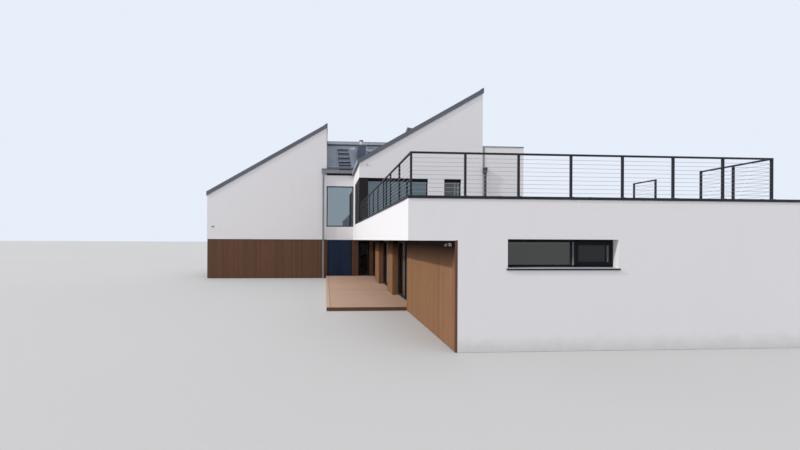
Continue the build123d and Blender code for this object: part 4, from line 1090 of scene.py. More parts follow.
def square_pipe(piece, x, y, size, z0, z1, wall_y, clips, name="gutter_metal"):
    """Square downpipe with sleeve joints and wall clips."""
    half = size / 2
    piece.box((x - half, y - half, z0), (x + half, y + half, z1), name, bevel=0.012)
    joints = int((z1 - z0) / 2.0)
    for i in range(1, joints + 1):
        z = z0 + (z1 - z0) * i / (joints + 1)
        piece.box((x - half - 0.004, y - half - 0.004, z), (x + half + 0.004, y + half + 0.004, z + 0.07),
                  name, bevel=0.010)
    for i in range(clips):
        z = z0 + 0.5 + (z1 - z0 - 1.0) * i / max(1, clips - 1)
        piece.box((x - half - 0.006, y - half - 0.006, z), (x + half + 0.006, y + half + 0.006, z + 0.025),
                  "verge_metal", bevel=0.004)
        piece.box((x - 0.01, y + half, z + 0.004), (x + 0.01, wall_y, z + 0.02), "verge_metal")


def downpipes():
    """Both downpipes with clips and sleeves, and the hopper head by the annex."""
    piece = Piece("rainwater_pipes")
    axis_y = 0.05 + PIPE / 2
    square_pipe(piece, -0.23, MAIN_Y - axis_y, PIPE, 0.0, 7.43, MAIN_Y, 4)
    y0 = ANNEX_LOW.y
    hopper_low = RIGHT_X + 0.035
    hopper_high = hopper_low + 0.2
    x, top, foot = (hopper_low + hopper_high) / 2, 7.12, 6.78
    square_pipe(piece, x, y0 - axis_y, PIPE, TERRACE, foot + 0.01, y0, 3, "pipe_metal")
    outline = [(-0.10, 0.0), (0.10, 0.0), (0.10, -0.16), (0.06, foot - top), (-0.06, foot - top),
               (-0.10, -0.16)]
    piece.sheet(outline, (x, y0 - 0.2, top), X, Z, (0, 0.2, 0), "pipe_metal")
    piece.box((hopper_low - 0.004, y0 - 0.204, top - 0.025), (hopper_high + 0.004, y0, top), "pipe_metal",
              bevel=0.003)
    # Grey strip up the block's corner on the annex: partly painted shadow of the block's corner.
    piece.box((RIGHT_X + 0.004, y0 - 0.020, foot), (RIGHT_X + 0.135, y0, ANNEX_HIGH.z), "joint_metal",
              bevel=0.003)
    return piece.done(replaces=["downpipes"], slot="trim_metal")


# Copings and railings
def coping_runs():
    """Centre lines of the copings: place, length direction, width and level of each run."""
    low, high = site_box("copings")
    lip = 0.02
    back = WING_BACK_Y - WALL - lip
    return [
        ((low.x, -lip), (high.x, WALL + lip), PARAPET, 0),
        ((low.x, 0.422), (LINK_X + WALL + lip, RIGHT_Y), PARAPET, 1),
        ((WING_X - WALL - lip, 0.422), (high.x, back - 0.002), PARAPET, 1),
        ((ANNEX_HIGH.x + 0.002, back), (high.x, WING_BACK_Y + lip), PARAPET, 0),
        ((RIGHT_X, ANNEX_LOW.y - lip), (ANNEX_HIGH.x + lip, ANNEX_LOW.y + 0.418), high.z - COPING, 0),
        ((ANNEX_HIGH.x - WALL - lip, ANNEX_LOW.y + 0.42), (ANNEX_HIGH.x + lip, back - 0.002), high.z - COPING,
         1),
        ((RIGHT_X, back), (ANNEX_HIGH.x + lip, WING_BACK_Y + lip), high.z - COPING, 0),
    ]


def copings():
    """Folded copings: a slightly crowned top, drips on both edges and cover strips at the joints."""
    piece = Piece("folded_copings")
    for (x0, y0), (x1, y1), z, axis in coping_runs():
        name = "coping_metal" if z < PARAPET + 0.5 else "annex_coping_metal"
        wide = (y1 - y0) if axis == 0 else (x1 - x0)
        long = (x1 - x0) if axis == 0 else (y1 - y0)
        h = COPING
        section = [(-0.004, -0.006), (0.008, 0.002), (wide - 0.008, 0.002), (wide + 0.004, -0.006),
                   (wide, h - 0.014), (wide - 0.006, h - 0.006), (0.006, h), (0.0, h - 0.006)]
        strap = [(-0.006, -0.004), (wide + 0.006, -0.004), (wide + 0.003, h - 0.010),
                 (wide - 0.006, h - 0.003),
                 (0.004, h + 0.003), (-0.003, h - 0.004)]
        if axis == 0:
            right, sweep = Y, Vector((long, 0, 0))
        else:
            right, sweep = X, Vector((0, long, 0))
        piece.sheet(section, (x0, y0, z), right, Z, sweep, name)
        joints = int(long / 2.5)
        for i in range(1, joints + 1):
            step = sweep * (i / (joints + 1))
            piece.sheet(strap,
                        (x0 + step.x - (0.04 if axis == 0 else 0), y0 + step.y - (0.04 if axis else 0), z),
                        right, Z, sweep.normalized() * 0.08, name)
    return piece.done(replaces=["copings"], slot="trim_metal")


def rail_run(piece, start, end, posts, foot, top, first=True):
    """Posts with base plates, handrail, level rods with end fittings, along a straight line."""
    settings = bpy.context.scene.house_railings
    name = "railing_coat"
    a, b = Vector(start), Vector(end)
    along = (b - a).normalized()
    across = Vector(Z).cross(along)
    length = (b - a).length
    post, rod = settings.post_size, settings.rod_size
    count = posts if first else posts - 1
    pitch = length / (posts - 1)
    origin = a if first else a + along * pitch
    corner = origin - along * post / 2 - across * post / 2
    handrail = 0.045
    rod_foot = PARAPET + COPING
    piece.bars(axes(site(corner.x, corner.y, foot), along, across, Z), name, width=post, depth=post,
               length=top - handrail - foot, edge_radius=0.004, count=count, pitch=pitch)
    plate = origin - along * 0.055 - across * 0.055
    piece.bars(axes(site(plate.x, plate.y, foot), along, across, Z), name, width=0.11, depth=0.11,
               length=0.010, edge_radius=0.006, count=count, pitch=pitch)
    for du in (-0.038, 0.038):
        for dv in (-0.038, 0.038):
            bolt = origin + along * (du - 0.007) + across * (dv - 0.007)
            piece.bars(axes(site(bolt.x, bolt.y, foot + 0.010), along, across, Z), "steel", width=0.014,
                       depth=0.014, length=0.007, edge_radius=0.0068, edge_steps=3, count=count, pitch=pitch)
    rail = a - along * post / 2 * (1 if first else -1) - across * post / 2
    matrix = axes(site(rail.x, rail.y, top), across, (0, 0, -1), along)
    piece.bars(matrix, name, width=post, depth=handrail, length=length + (post if first else 0.0),
               edge_radius=0.006, edge_steps=3)
    rods = settings.rod_count
    gap = (top - handrail - rod_foot) / (rods + 1)
    row = a - across * rod / 2
    matrix = axes(site(row.x, row.y, rod_foot + gap - rod / 2), Z, across, along)
    piece.bars(matrix, "rod_steel", width=rod, depth=rod, length=length, edge_radius=rod / 2 - 0.0002,
               edge_steps=4, count=rods, pitch=gap)
    for index in range(posts):
        for side in (-1, 1):
            if (index == 0 and side < 0) or (index == posts - 1 and side > 0):
                continue
            ring = a + along * (pitch * index + side * (post / 2 + (0.014 if side < 0 else 0.0)))
            ring -= across * 0.009
            piece.bars(axes(site(ring.x, ring.y, rod_foot + gap - 0.009), Z, across, along), "steel",
                       width=0.018, depth=0.018, length=0.014, edge_radius=0.0088, edge_steps=4, count=rods,
                       pitch=gap)


def railings():
    """Front, side and return railings of the roof terrace."""
    top = site_box("front_railing")[1].z
    foot = site_box("front_railing")[0].z
    low, high = site_box("front_railing")
    inset = 0.08
    corner = low.x + 0.025
    end = high.x - 0.025
    front = Piece("front_guard_rail")
    rail_run(front, (corner, inset, 0), (end, inset, 0), 8, foot, top)
    front.done(replaces=["front_railing"], slot="railing")
    side = Piece("side_guard_rail")
    last = site_box("side_railing")[1].y - 0.025
    rail_run(side, (corner, inset, 0), (corner, last, 0), 10, foot, top, first=False)
    side.done(replaces=["side_railing"], slot="railing")
    short = Piece("return_guard_rails")
    bay = 0.92
    far = site_box("return_railings")[1].y - 0.025
    rail_run(short, (end, inset, 0), (end, inset + 2 * bay, 0), 3, TERRACE, top, first=False)
    rail_run(short, (end, far - bay, 0), (end, far, 0), 2, TERRACE, top)
    return short.done(replaces=["return_railings"], slot="railing")


# Windows
def ring(piece, x, y, z, size, name, bevel=0.004):
    """Four profiles round an x-z opening, with eased edges."""
    piece.box((x[0], y[0], z[0]), (x[0] + size, y[1], z[1]), name, bevel)
    piece.box((x[1] - size, y[0], z[0]), (x[1], y[1], z[1]), name, bevel)
    piece.box((x[0] + size, y[0], z[0]), (x[1] - size, y[1], z[0] + size), name, bevel)
    piece.box((x[0] + size, y[0], z[1] - size), (x[1] - size, y[1], z[1]), name, bevel)


def fixed_light(piece, x, z, gasket_y):
    """Gasket and glazing bead round one pane."""
    bead = 0.014
    ring(piece, x, (gasket_y - 0.010, gasket_y + 0.006), z, bead, "rubber", bevel=0.002)
    ring(piece, x, (gasket_y - 0.022, gasket_y - 0.008), z, bead * 0.7, "frame_coat", bevel=0.002)


def opening_light(piece, x, y, z):
    """Sash of an opening light in the back wall, proud of its frame, with a handle inside."""
    ring(piece, (x[0] - 0.01, x[1] + 0.01), (y[1] - 0.05, y[1] + 0.012), (z[0] - 0.01, z[1] + 0.01), 0.075,
         "frame_coat", bevel=0.005)
    inside, handle_x, handle_z = y[0], x[0] + 0.03, (z[0] + z[1]) / 2
    piece.box((handle_x - 0.014, inside - 0.012, handle_z - 0.03),
              (handle_x + 0.014, inside, handle_z + 0.03),
              "steel", bevel=0.003)
    piece.box((handle_x - 0.011, inside - 0.048, handle_z - 0.12),
              (handle_x + 0.011, inside - 0.035, handle_z + 0.011), "steel", bevel=0.004)


def band_lights(p):
    """Clear widths of the three lights of the glazed band."""
    (left, right), _ = BAND
    third = (right - left) / 3
    return [(left + third * i + (p if i == 0 else p / 2), left + third * (i + 1) - (p if i == 2 else p / 2))
            for i in range(3)]


def window_units():
    """Frames, sashes, gaskets and beads of every window; the glass nodes stay."""
    piece = Piece("window_units")
    p = bpy.context.scene.house_glazing.profile
    link_y = (MAIN_Y + 0.02, MAIN_Y + 0.10)
    band_y = (RIGHT_Y + 0.12, RIGHT_Y + 0.20)
    wing_y = (RECESS, RECESS + FRAME_DEPTH)
    ring(piece, (0.0, LINK_X), link_y, LINK_WINDOW_Z, p, "frame_coat")
    link_z = (LINK_WINDOW_Z[0] + p, LINK_WINDOW_Z[1] - p)
    fixed_light(piece, (p, LINK_X - p), link_z, sum(link_y) / 2 - 0.01)
    piece.box((0.0, link_y[0] - 0.012, LINK_WINDOW_Z[1] - 0.05), (LINK_X, link_y[0] + 0.01, LINK_WINDOW_Z[1]),
              "frame_coat", bevel=0.003)
    band_x, (foot, head) = BAND
    glass_z = (foot + p, head - BAND_HEAD)
    ring(piece, band_x, band_y, (foot, head), p, "frame_coat")
    piece.box((band_x[0], band_y[0] - 0.01, head - BAND_HEAD), (band_x[1], band_y[1], head), "frame_coat",
              bevel=0.004)
    lights = band_lights(p)
    for index, (x0, x1) in enumerate(lights):
        if index:
            piece.box((x0 - p, band_y[0], foot + p), (x0, band_y[1], head - p), "frame_coat", bevel=0.004)
        fixed_light(piece, (x0, x1), glass_z, sum(band_y) / 2 - 0.01)
    door_x = TERRACE_DOOR_X
    ring(piece, door_x, band_y, (foot, head), p, "frame_coat")
    for inset in (0.06, 0.26):
        right = door_x[1] - p - inset
        piece.box((right - 0.07, band_y[0] + 0.02, foot + p), (right, band_y[0] + 0.05, head - BAND_HEAD),
                  "gutter_metal", bevel=0.004)
    piece.box((door_x[0] + p, band_y[0] - 0.01, head - BAND_HEAD), (door_x[1] - p, band_y[1], head - p),
              "frame_coat",
              bevel=0.004)
    fixed_light(piece, (door_x[0] + p, door_x[1] - p), glass_z, sum(band_y) / 2 - 0.01)
    wing_x, wing_z = WING_WINDOW
    inner_z = (wing_z[0] + p, wing_z[1] - p)
    mullion = (WING_MULLION - p / 2, WING_MULLION + p / 2)
    ring(piece, wing_x, wing_y, wing_z, p, "frame_coat")
    piece.box((mullion[0], wing_y[0] - 0.055, inner_z[0]), (mullion[1], wing_y[1], inner_z[1]), "frame_coat",
              bevel=0.003)
    # Light metal skin on the mullion's left face, the side the sun falls on: painted highlight on the dark
    # frame.
    piece.box((mullion[0] - 0.003, wing_y[0] - 0.052, inner_z[0]), (mullion[0], wing_y[0] + 0.04, inner_z[1]),
              "gutter_metal")
    fixed_light(piece, (wing_x[0] + p, mullion[0] - 0.003), inner_z, wing_y[0] + 0.03)
    sash = (mullion[1], wing_x[1] - p)
    ring(piece, sash, (wing_y[0] - 0.02, wing_y[0] + 0.05), inner_z, 0.085, "frame_coat", bevel=0.006)
    piece.box((sash[1] - 0.093, wing_y[0] - 0.024, inner_z[0] + 0.085),
              (sash[1] - 0.085, wing_y[0] + 0.03, inner_z[1] - 0.085), "gutter_metal", bevel=0.001)
    back_y = (BACK_Y - RECESS - FRAME_DEPTH, BACK_Y - RECESS)
    for x, z in BACK_WINDOWS:
        middle, inner = sum(x) / 2, (z[0] + p, z[1] - p)
        ring(piece, x, back_y, z, p, "frame_coat")
        piece.box((middle - p / 2, back_y[0], inner[0]), (middle + p / 2, back_y[1], inner[1]), "frame_coat",
                  bevel=0.004)
        opening_light(piece, (x[0] + p, middle - p / 2), back_y, inner)
        for side in ((x[0] + p, middle - p / 2), (middle + p / 2, x[1] - p)):
            ring(piece, side, (BACK_Y - RECESS - 0.035, BACK_Y - RECESS - 0.019), inner, 0.014, "rubber",
                 0.002)
    return piece.done(replaces=["window_frames"], slot="frame")


def window_panes():
    """Panes as separate sheets: green in the wing and at the back, glossier in the link and the band."""
    piece = Piece("window_panes")
    p = bpy.context.scene.house_glazing.profile
    half = 0.012

    def pane(x, y, z, name):
        piece.box((x[0], y - half, z[0]), (x[1], y + half, z[1]), name, bevel=0.001)

    pane((p, LINK_X - p), MAIN_Y + 0.06, (LINK_WINDOW_Z[0] + p, LINK_WINDOW_Z[1] - p), "sky_glass")
    _, (foot, head) = BAND
    for x in band_lights(p):
        pane(x, RIGHT_Y + 0.16, (foot + p, head - BAND_HEAD), "band_glass")
    pane((TERRACE_DOOR_X[0] + p, TERRACE_DOOR_X[1] - p), RIGHT_Y + 0.16, (foot + p, head - BAND_HEAD),
         "green_reflection_glass")
    wing_x, wing_z = WING_WINDOW
    inner_z = (wing_z[0] + p, wing_z[1] - p)
    wing_y = RECESS + FRAME_DEPTH / 2
    pane((wing_x[0] + p, WING_MULLION - p / 2), wing_y, inner_z, "green_reflection_glass")
    pane((WING_MULLION + p / 2, wing_x[1] - p), wing_y, inner_z, "sash_glass")
    for x, z in BACK_WINDOWS:
        middle = sum(x) / 2
        for side in ((x[0] + p, middle - p / 2), (middle + p / 2, x[1] - p)):
            pane(side, BACK_Y - RECESS - FRAME_DEPTH / 2, (z[0] + p, z[1] - p), "green_reflection_glass")
    return piece.done(replaces=["window_glass"], slot="glass")


def window_sills():
    """Sloping sheet sills with a folded front edge and upstands at the ends."""
    piece = Piece("sheet_sills")
    section = [(0.0, -0.006), (-0.040, -0.008), (-0.040, -0.020), (-0.034, -0.020), (-0.034, -0.012),
               (RECESS, 0.004),
               (RECESS, 0.016)]
    (x0, x1), (sill_z, _) = WING_WINDOW
    over = 0.03
    # The wing sill is one sheet: its sloping top in light metal is a painted highlight, its folded front in
    # near-black coping metal painted shade.
    piece.sheet(section, (x0, 0.0, sill_z), Y, Z, (x1 - x0, 0, 0), "bright_metal")
    piece.box((x0 - over, -0.041, sill_z - 0.050), (x1 + over, 0.0, sill_z - 0.008), "coping_metal",
              bevel=0.004)
    for x, (z, _) in BACK_WINDOWS:
        y = BACK_Y - (RENDER_LIP if x[0] < 0 and z < 2 else 0.0)
        out = [(-u, v) for u, v in section]
        piece.sheet(out, (x[0], BACK_Y, z), Y, Z, (x[1] - x[0], 0, 0), "coping_metal")
        piece.box((x[0], y - 0.002, z - 0.050), (x[1], BACK_Y + 0.041, z - 0.008), "coping_metal",
                  bevel=0.004)
    return piece.done(replaces=["window_sills"], slot="trim_metal")


def corner_cladding():
    """Dark sheet round the corner of the upper storey, with folded joints."""
    piece = Piece("corner_joints")
    low, high = site_box("corner_panel")
    z = low.z + (high.z - low.z) / 2
    piece.box((low.x - 0.002, low.y - 0.002, z - 0.003), (high.x, low.y, z + 0.003), "rubber")
    for y in (low.y + 1.0, low.y + 2.0):
        piece.box((low.x - 0.006, y - 0.006, low.z), (low.x, y + 0.006, high.z), "dark_coat_and_painted_shade", bevel=0.002)
    piece.box((low.x - 0.008, low.y - 0.008, high.z - 0.03), (high.x, low.y, high.z), "dark_coat_and_painted_shade",
              bevel=0.003)
    dress(["corner_panel"], "dark_coat_and_painted_shade")
    return piece.done(slot="frame")


# Glazed bays under the overhang
TRACK = 0.15
HINGE_Z = (0.45, 1.4, 2.3)


def leaf(name, body, node, x, y, z, sliding):
    """Glazed leaf: profiles with eased edges, gaskets, the pane and, where it slides, a pull handle."""
    piece = Piece(name)
    size = 0.07
    coat = "frame_coat" if sliding else "leaf_coat"
    (y0, y1), (z0, z1) = (y[0] + size, y[1] - size), (z[0] + size, z[1] - size)
    for low_y, high_y, low_z, high_z in ((y[0], y0, *z), (y1, y[1], *z), (y0, y1, z[0], z0),
                                         (y0, y1, z1, z[1])):
        piece.box((x[0], low_y, low_z), (x[1], high_y, high_z), coat, bevel=0.004)
    middle = (x[0] + x[1]) / 2
    seal = 0.012
    for side in (-1, 1):
        near, far = sorted((middle + side * 0.013, middle + side * 0.021))
        for low_y, high_y, low_z, high_z in ((y0, y0 + seal, z0, z1), (y1 - seal, y1, z0, z1),
                                             (y0, y1, z0, z0 + seal), (y0, y1, z1 - seal, z1)):
            piece.box((near, low_y, low_z), (far, high_y, high_z), "rubber")
    if sliding:
        hy, face = y[0] + size / 2, x[1]
        piece.box((face - 0.002, hy - 0.014, 0.98), (face + 0.008, hy + 0.014, 1.42), "frame_coat",
                  bevel=0.004)
        for foot in (1.02, 1.34):
            piece.box((face + 0.006, hy - 0.008, foot), (face + 0.040, hy + 0.008, foot + 0.03), "steel",
                      bevel=0.003)
        piece.box((face + 0.034, hy - 0.011, 1.0), (face + 0.046, hy + 0.011, 1.40), "steel", bevel=0.004)
    pane = piece.done(body=body, replaces=[node] if node else (), slot="leaf")
    glass = Piece(name + "_pane")
    glass.box((middle - 0.012, y[0] + size, z[0] + size), (middle + 0.012, y[1] - size, z[1] - size),
              "clear_glass",
              bevel=0.001)
    glass.done(body=body, slot="glass")
    return pane


def terrace_bays():
    """Frames with tracks, and the fixed and sliding leaves of the three bays."""
    frames = Piece("bay_track_frames")
    x = (GLAZING_X, GLAZING_X + TRACK)
    fixed_low, fixed_high = site_box("fixed_leaves")
    for start in BAY_Y:
        end = start + BAY
        frames.box((x[0], start, FLOOR), (x[1], start + 0.06, SOFFIT), "frame_coat", bevel=0.004)
        frames.box((x[0], end - 0.06, FLOOR), (x[1], end, SOFFIT), "frame_coat", bevel=0.004)
        frames.box((x[0], start + 0.06, SOFFIT - 0.06), (x[1], end - 0.06, SOFFIT), "frame_coat", bevel=0.004)
        frames.box((x[0], start + 0.06, 0.0), (x[1], end - 0.06, FLOOR + 0.03), "steel", bevel=0.004)
        for line in (fixed_low.x + 0.03, fixed_low.x + 0.096):
            frames.box((line - 0.005, start + 0.06, FLOOR + 0.03), (line + 0.005, end - 0.06, FLOOR + 0.0355),
                       "steel", bevel=0.001)
    frames.done(replaces=["bay_frames"], slot="frame")
    z0, z1 = FLOOR + 0.05, SOFFIT - 0.08
    slats = 0.085
    for name, y0, y1 in (("front", BAY_Y[0] + 0.75, BAY_Y[0] + 4.15),
                         ("middle", BAY_Y[1] + 0.90, BAY_Y[1] + 3.90)):
        blind = Piece(f"{name}_bay_blind")
        for index in range(round((y1 - y0) / slats)):
            blind.bars(axes(site(x[1] + 0.062, y1 - index * slats, z0), (0.25, -1, 0), (1, 0.25, 0), Z),
                       name + "_slat", width=0.089, depth=0.002, length=z1 - z0, edge_radius=0.0008,
                       edge_steps=1)
        blind.box((x[1] + 0.055, y0, z1 + 0.004), (x[1] + 0.10, y1, SOFFIT), "lamp_coat", bevel=0.004)
        blind.done(slot="frame")
    for name, start in zip(("front", "middle", "rear"), BAY_Y):
        fixed_y = (fixed_high.y - (BAY_Y[2] - start) - 1.53, fixed_high.y - (BAY_Y[2] - start))
        leaf(f"{name}_fixed_leaf", "house", "fixed_leaves" if name == "front" else None,
             (fixed_low.x, fixed_high.x), fixed_y, (fixed_low.z, fixed_high.z), False)
        low, high = site_box(f"{name}_sliding_leaf")
        leaf(f"{name}_glazed_leaf", f"{name}_leaf", f"{name}_sliding_leaf", (low.x, high.x), (low.y, high.y),
             (low.z, high.z), True)


def rear_door():
    """Hinged glazed door at the back of the terrace, with its frame and hinges."""
    frame_piece = Piece("rear_door_casing")
    y0 = MAIN_Y + 0.06
    y1 = y0 + 0.09
    frame_piece.box((2.29, y0, 0.0), (2.33, y1, SOFFIT), "frame_coat", bevel=0.003)
    frame_piece.box((3.04, y0, 0.0), (3.08, y1, SOFFIT), "frame_coat", bevel=0.003)
    frame_piece.box((2.33, y0, SOFFIT - 0.04), (3.04, y1, SOFFIT), "frame_coat", bevel=0.003)
    frame_piece.box((2.33, y0, 0.0), (3.04, MAIN_Y + WALL, FLOOR - 0.004), "screed")
    frame_piece.box((2.33, y0 + 0.004, FLOOR - 0.01), (3.04, y1, FLOOR), "steel", bevel=0.002)
    hinge_x, hinge_y = 3.037, 18.061
    for z in HINGE_Z:
        frame_piece.rod((hinge_x, hinge_y, z), (hinge_x, hinge_y, z + 0.04), 0.009, "steel", sides=20)
        frame_piece.box((hinge_x, y1, z), (hinge_x + 0.038, y1 + 0.006, z + 0.04), "steel", bevel=0.001)
    frame_piece.done(replaces=["rear_door_frame"], slot="frame")
    low, high = site_box("rear_door")
    door = Piece("rear_glazed_door")
    size = 0.07
    x = (2.342, 3.034)
    y = (y1 - 0.07, y1)
    z = (low.z, high.z)
    for x0, x1, z0, z1 in ((x[0], x[0] + size, *z), (x[1] - size, x[1], *z),
                           (x[0] + size, x[1] - size, z[0], z[0] + size),
                           (x[0] + size, x[1] - size, z[1] - size, z[1])):
        door.box((x0, y[0], z0), (x1, y[1], z1), "frame_coat", bevel=0.004)
    middle = (y[0] + y[1]) / 2
    for side in (-1, 1):
        gy = sorted((middle + side * 0.013, middle + side * 0.021))
        ring(door, (x[0] + size, x[1] - size), gy, (z[0] + size, z[1] - size), 0.012, "rubber", 0.002)
    for z0 in HINGE_Z:
        door.rod((hinge_x, hinge_y, z0 + 0.0403), (hinge_x, hinge_y, z0 + 0.0803), 0.009, "steel", sides=20)
        door.box((hinge_x - 0.038, y1, z0 + 0.0403), (hinge_x, y1 + 0.006, z0 + 0.0803), "steel", bevel=0.001)
    for face, out in ((y[0], -1), (y[1], 1)):
        plate = sorted((face, face + out * 0.008))
        door.box((x[0] + 0.020, plate[0], 1.06), (x[0] + 0.050, plate[1], 1.28), "rubber", bevel=0.003)
        neck = sorted((face + out * 0.006, face + out * 0.034))
        door.box((x[0] + 0.028, neck[0], 1.19), (x[0] + 0.042, neck[1], 1.204), "rubber", bevel=0.003)
        lever = sorted((face + out * 0.026, face + out * 0.038))
        door.box((x[0] + 0.028, lever[0], 1.187), (x[0] + 0.15, lever[1], 1.207), "rubber", bevel=0.004)
    door.done(body="door_leaf", replaces=["rear_door"], slot="leaf")
    glass = Piece("rear_door_pane")
    glass.box((x[0] + size, middle - 0.012, z[0] + size), (x[1] - size, middle + 0.012, z[1] - size),
              "clear_glass",
              bevel=0.001)
    return glass.done(body="door_leaf", slot="glass")


def shutter():
    """Closed shutter: interlocking slats between guide rails, with a weighted foot bar."""
    piece = Piece("closed_shutter")
    low, high = site_box("rear_shutter")
    piece.box((low.x, low.y + 0.02, 0.0), (high.x, high.y, high.z), "shutter_coat")
    slat = 0.077
    top = high.z - 0.02
    count = int((top - FLOOR - 0.08) / slat)
    matrix = axes(site(low.x + 0.05, low.y + 0.004, FLOOR + 0.08), Z, Y, X)
    piece.bars(matrix, "shutter_coat", width=slat - 0.003, depth=0.018, length=high.x - low.x - 0.10,
               edge_radius=0.006, edge_steps=3, count=count, pitch=slat)
    piece.box((low.x + 0.05, low.y, FLOOR), (high.x - 0.05, low.y + 0.024, FLOOR + 0.078), "shutter_coat",
              bevel=0.004)
    for x in (low.x, high.x - 0.05):
        piece.box((x, low.y - 0.008, 0.0), (x + 0.05, low.y + 0.03, high.z), "frame_coat", bevel=0.004)
    return piece.done(replaces=["rear_shutter"], slot="shutter")


# Walls, floors and small fittings
WHITE_WALLS = ("left_front_wall left_side_wall left_back_wall left_high_wall link_front_wall "
               "link_back_wall right_front_wall right_side_wall right_high_wall right_lower_wall "
               "right_back_wall annex_front_wall annex_side_wall annex_back_wall wing_front_wall "
               "wing_right_wall wing_back_wall overhang_side_fascia overhang_front_fascia terrace_wall").split()


def walls():
    """Render on the walls, floor finishes, and drip beads along the lower edges of the render."""
    dress(WHITE_WALLS, "mineral_render")
    dress(["upper_floor", "annex_floor", "ground_floor", "wing_floor"], "screed")
    dress(["terrace_slab"], "mineral_render")
    dress(["eave_beam", "deck_bearers"], "plain_timber")
    dress(["annex_roof"], "verge_metal")
    piece = Piece("drip_beads")
    bead = [(0.0, 0.0), (0.0, -0.012), (0.008, -0.012), (0.014, 0.0)]
    runs = [((LEFT_X, MAIN_Y, 2.75), Y, (-LEFT_X, 0, 0)),
            ((0.0, MAIN_Y, SOFFIT), Y, (LINK_X, 0, 0)),
            ((LINK_X, 0.0, SOFFIT), Y, (1.22, 0, 0)),
            ((LINK_X, 0.0, SOFFIT), X, (0, MAIN_Y, 0))]
    for origin, right, sweep in runs:
        piece.sheet(bead, origin, right, Z, sweep, "lamp_coat")
    piece.done(slot="render")
    low, high = site_box("annex_roof")
    top = Piece("annex_roof_sheet")
    count = round((high.x - low.x) / 0.5)
    pitch = (high.x - low.x) / count
    top.bars(axes(site(low.x + pitch, low.y, high.z), X, Z, Y), "verge_metal", width=0.02,
             depth=0.02, length=high.y - low.y, edge_radius=0.008, count=count - 1, pitch=pitch)
    top.done(slot="roof_metal")


def terrace_paving():
    """Paving slabs on the roof terrace, laid with open joints."""
    piece = Piece("terrace_paving")
    side = bpy.context.scene.house_walls.paving
    fields = [(LINK_X + WALL, WALL, WING_X - WALL, RIGHT_Y),
              (ANNEX_HIGH.x, RIGHT_Y, WING_X - WALL, WING_BACK_Y - WALL)]
    for number, (x0, y0, x1, y1) in enumerate(fields):
        across, back = round((x1 - x0) / side), round((y1 - y0) / side)
        if across < 1:
            continue
        px, py = (x1 - x0) / across, (y1 - y0) / back
        matrix = axes(site(x0 + 0.002, y0 + 0.002, TERRACE + 0.03), X, (0, 0, -1), Y)
        piece.bars(matrix, "concrete_slab", width=px - 0.004, depth=0.03, length=py - 0.004,
                   edge_radius=0.003,
                   count=across, pitch=px, rows=back, row_pitch=py, seed=90 + number)
    return piece.done(slot="concrete")


def lamps():
    """Wall lamp on the left block, twin spots under the overhang, flat sensor on the right block."""
    piece = Piece("outdoor_lamps")
    x, z = -7.876, 3.60
    piece.box((x - 0.035, MAIN_Y - 0.012, z - 0.035), (x + 0.035, MAIN_Y, z + 0.035), "verge_metal",
              bevel=0.003)
    piece.rod((x, MAIN_Y - 0.01, z), (x, MAIN_Y - 0.11, z + 0.015), 0.012, "verge_metal", sides=12)
    tip = (x + 0.06, MAIN_Y - 0.12, z + 0.005)
    piece.rod((x - 0.10, MAIN_Y - 0.10, z + 0.02), tip, 0.026, "verge_metal", sides=20)
    piece.rod(tip, (x + 0.064, MAIN_Y - 0.1205, z + 0.0045), 0.020, "clear_glass", sides=20)
    x, y, z = site_box("terrace_cladding")[0].x, 0.40, 2.62
    piece.box((x - 0.018, y - 0.05, z - 0.04), (x, y + 0.05, z + 0.04), "lamp_coat", bevel=0.004)
    for head_y, tip_x, radius in ((0.55, 0.08, 0.036), (0.24, 0.05, 0.027)):
        piece.rod((x - 0.014, y, z), (x - 0.04, head_y, z), 0.008, "rubber", sides=12)
        tip = (x - tip_x, head_y - 0.03, z - 0.03)
        piece.rod((x - 0.01, head_y, z + 0.015), tip, radius * 0.8, "spot_coat", sides=24, end_radius=radius)
        piece.rod(tip, (x - tip_x - 0.004, head_y - 0.0315, z - 0.0318), radius * 0.85, "clear_glass",
                  sides=24)
    x, z = 2.37, 7.22
    piece.rod((x, RIGHT_Y, z), (x, RIGHT_Y - 0.05, z), 0.075, "middle_slat", sides=24, end_radius=0.06)
    return piece.done(slot="trim_metal")


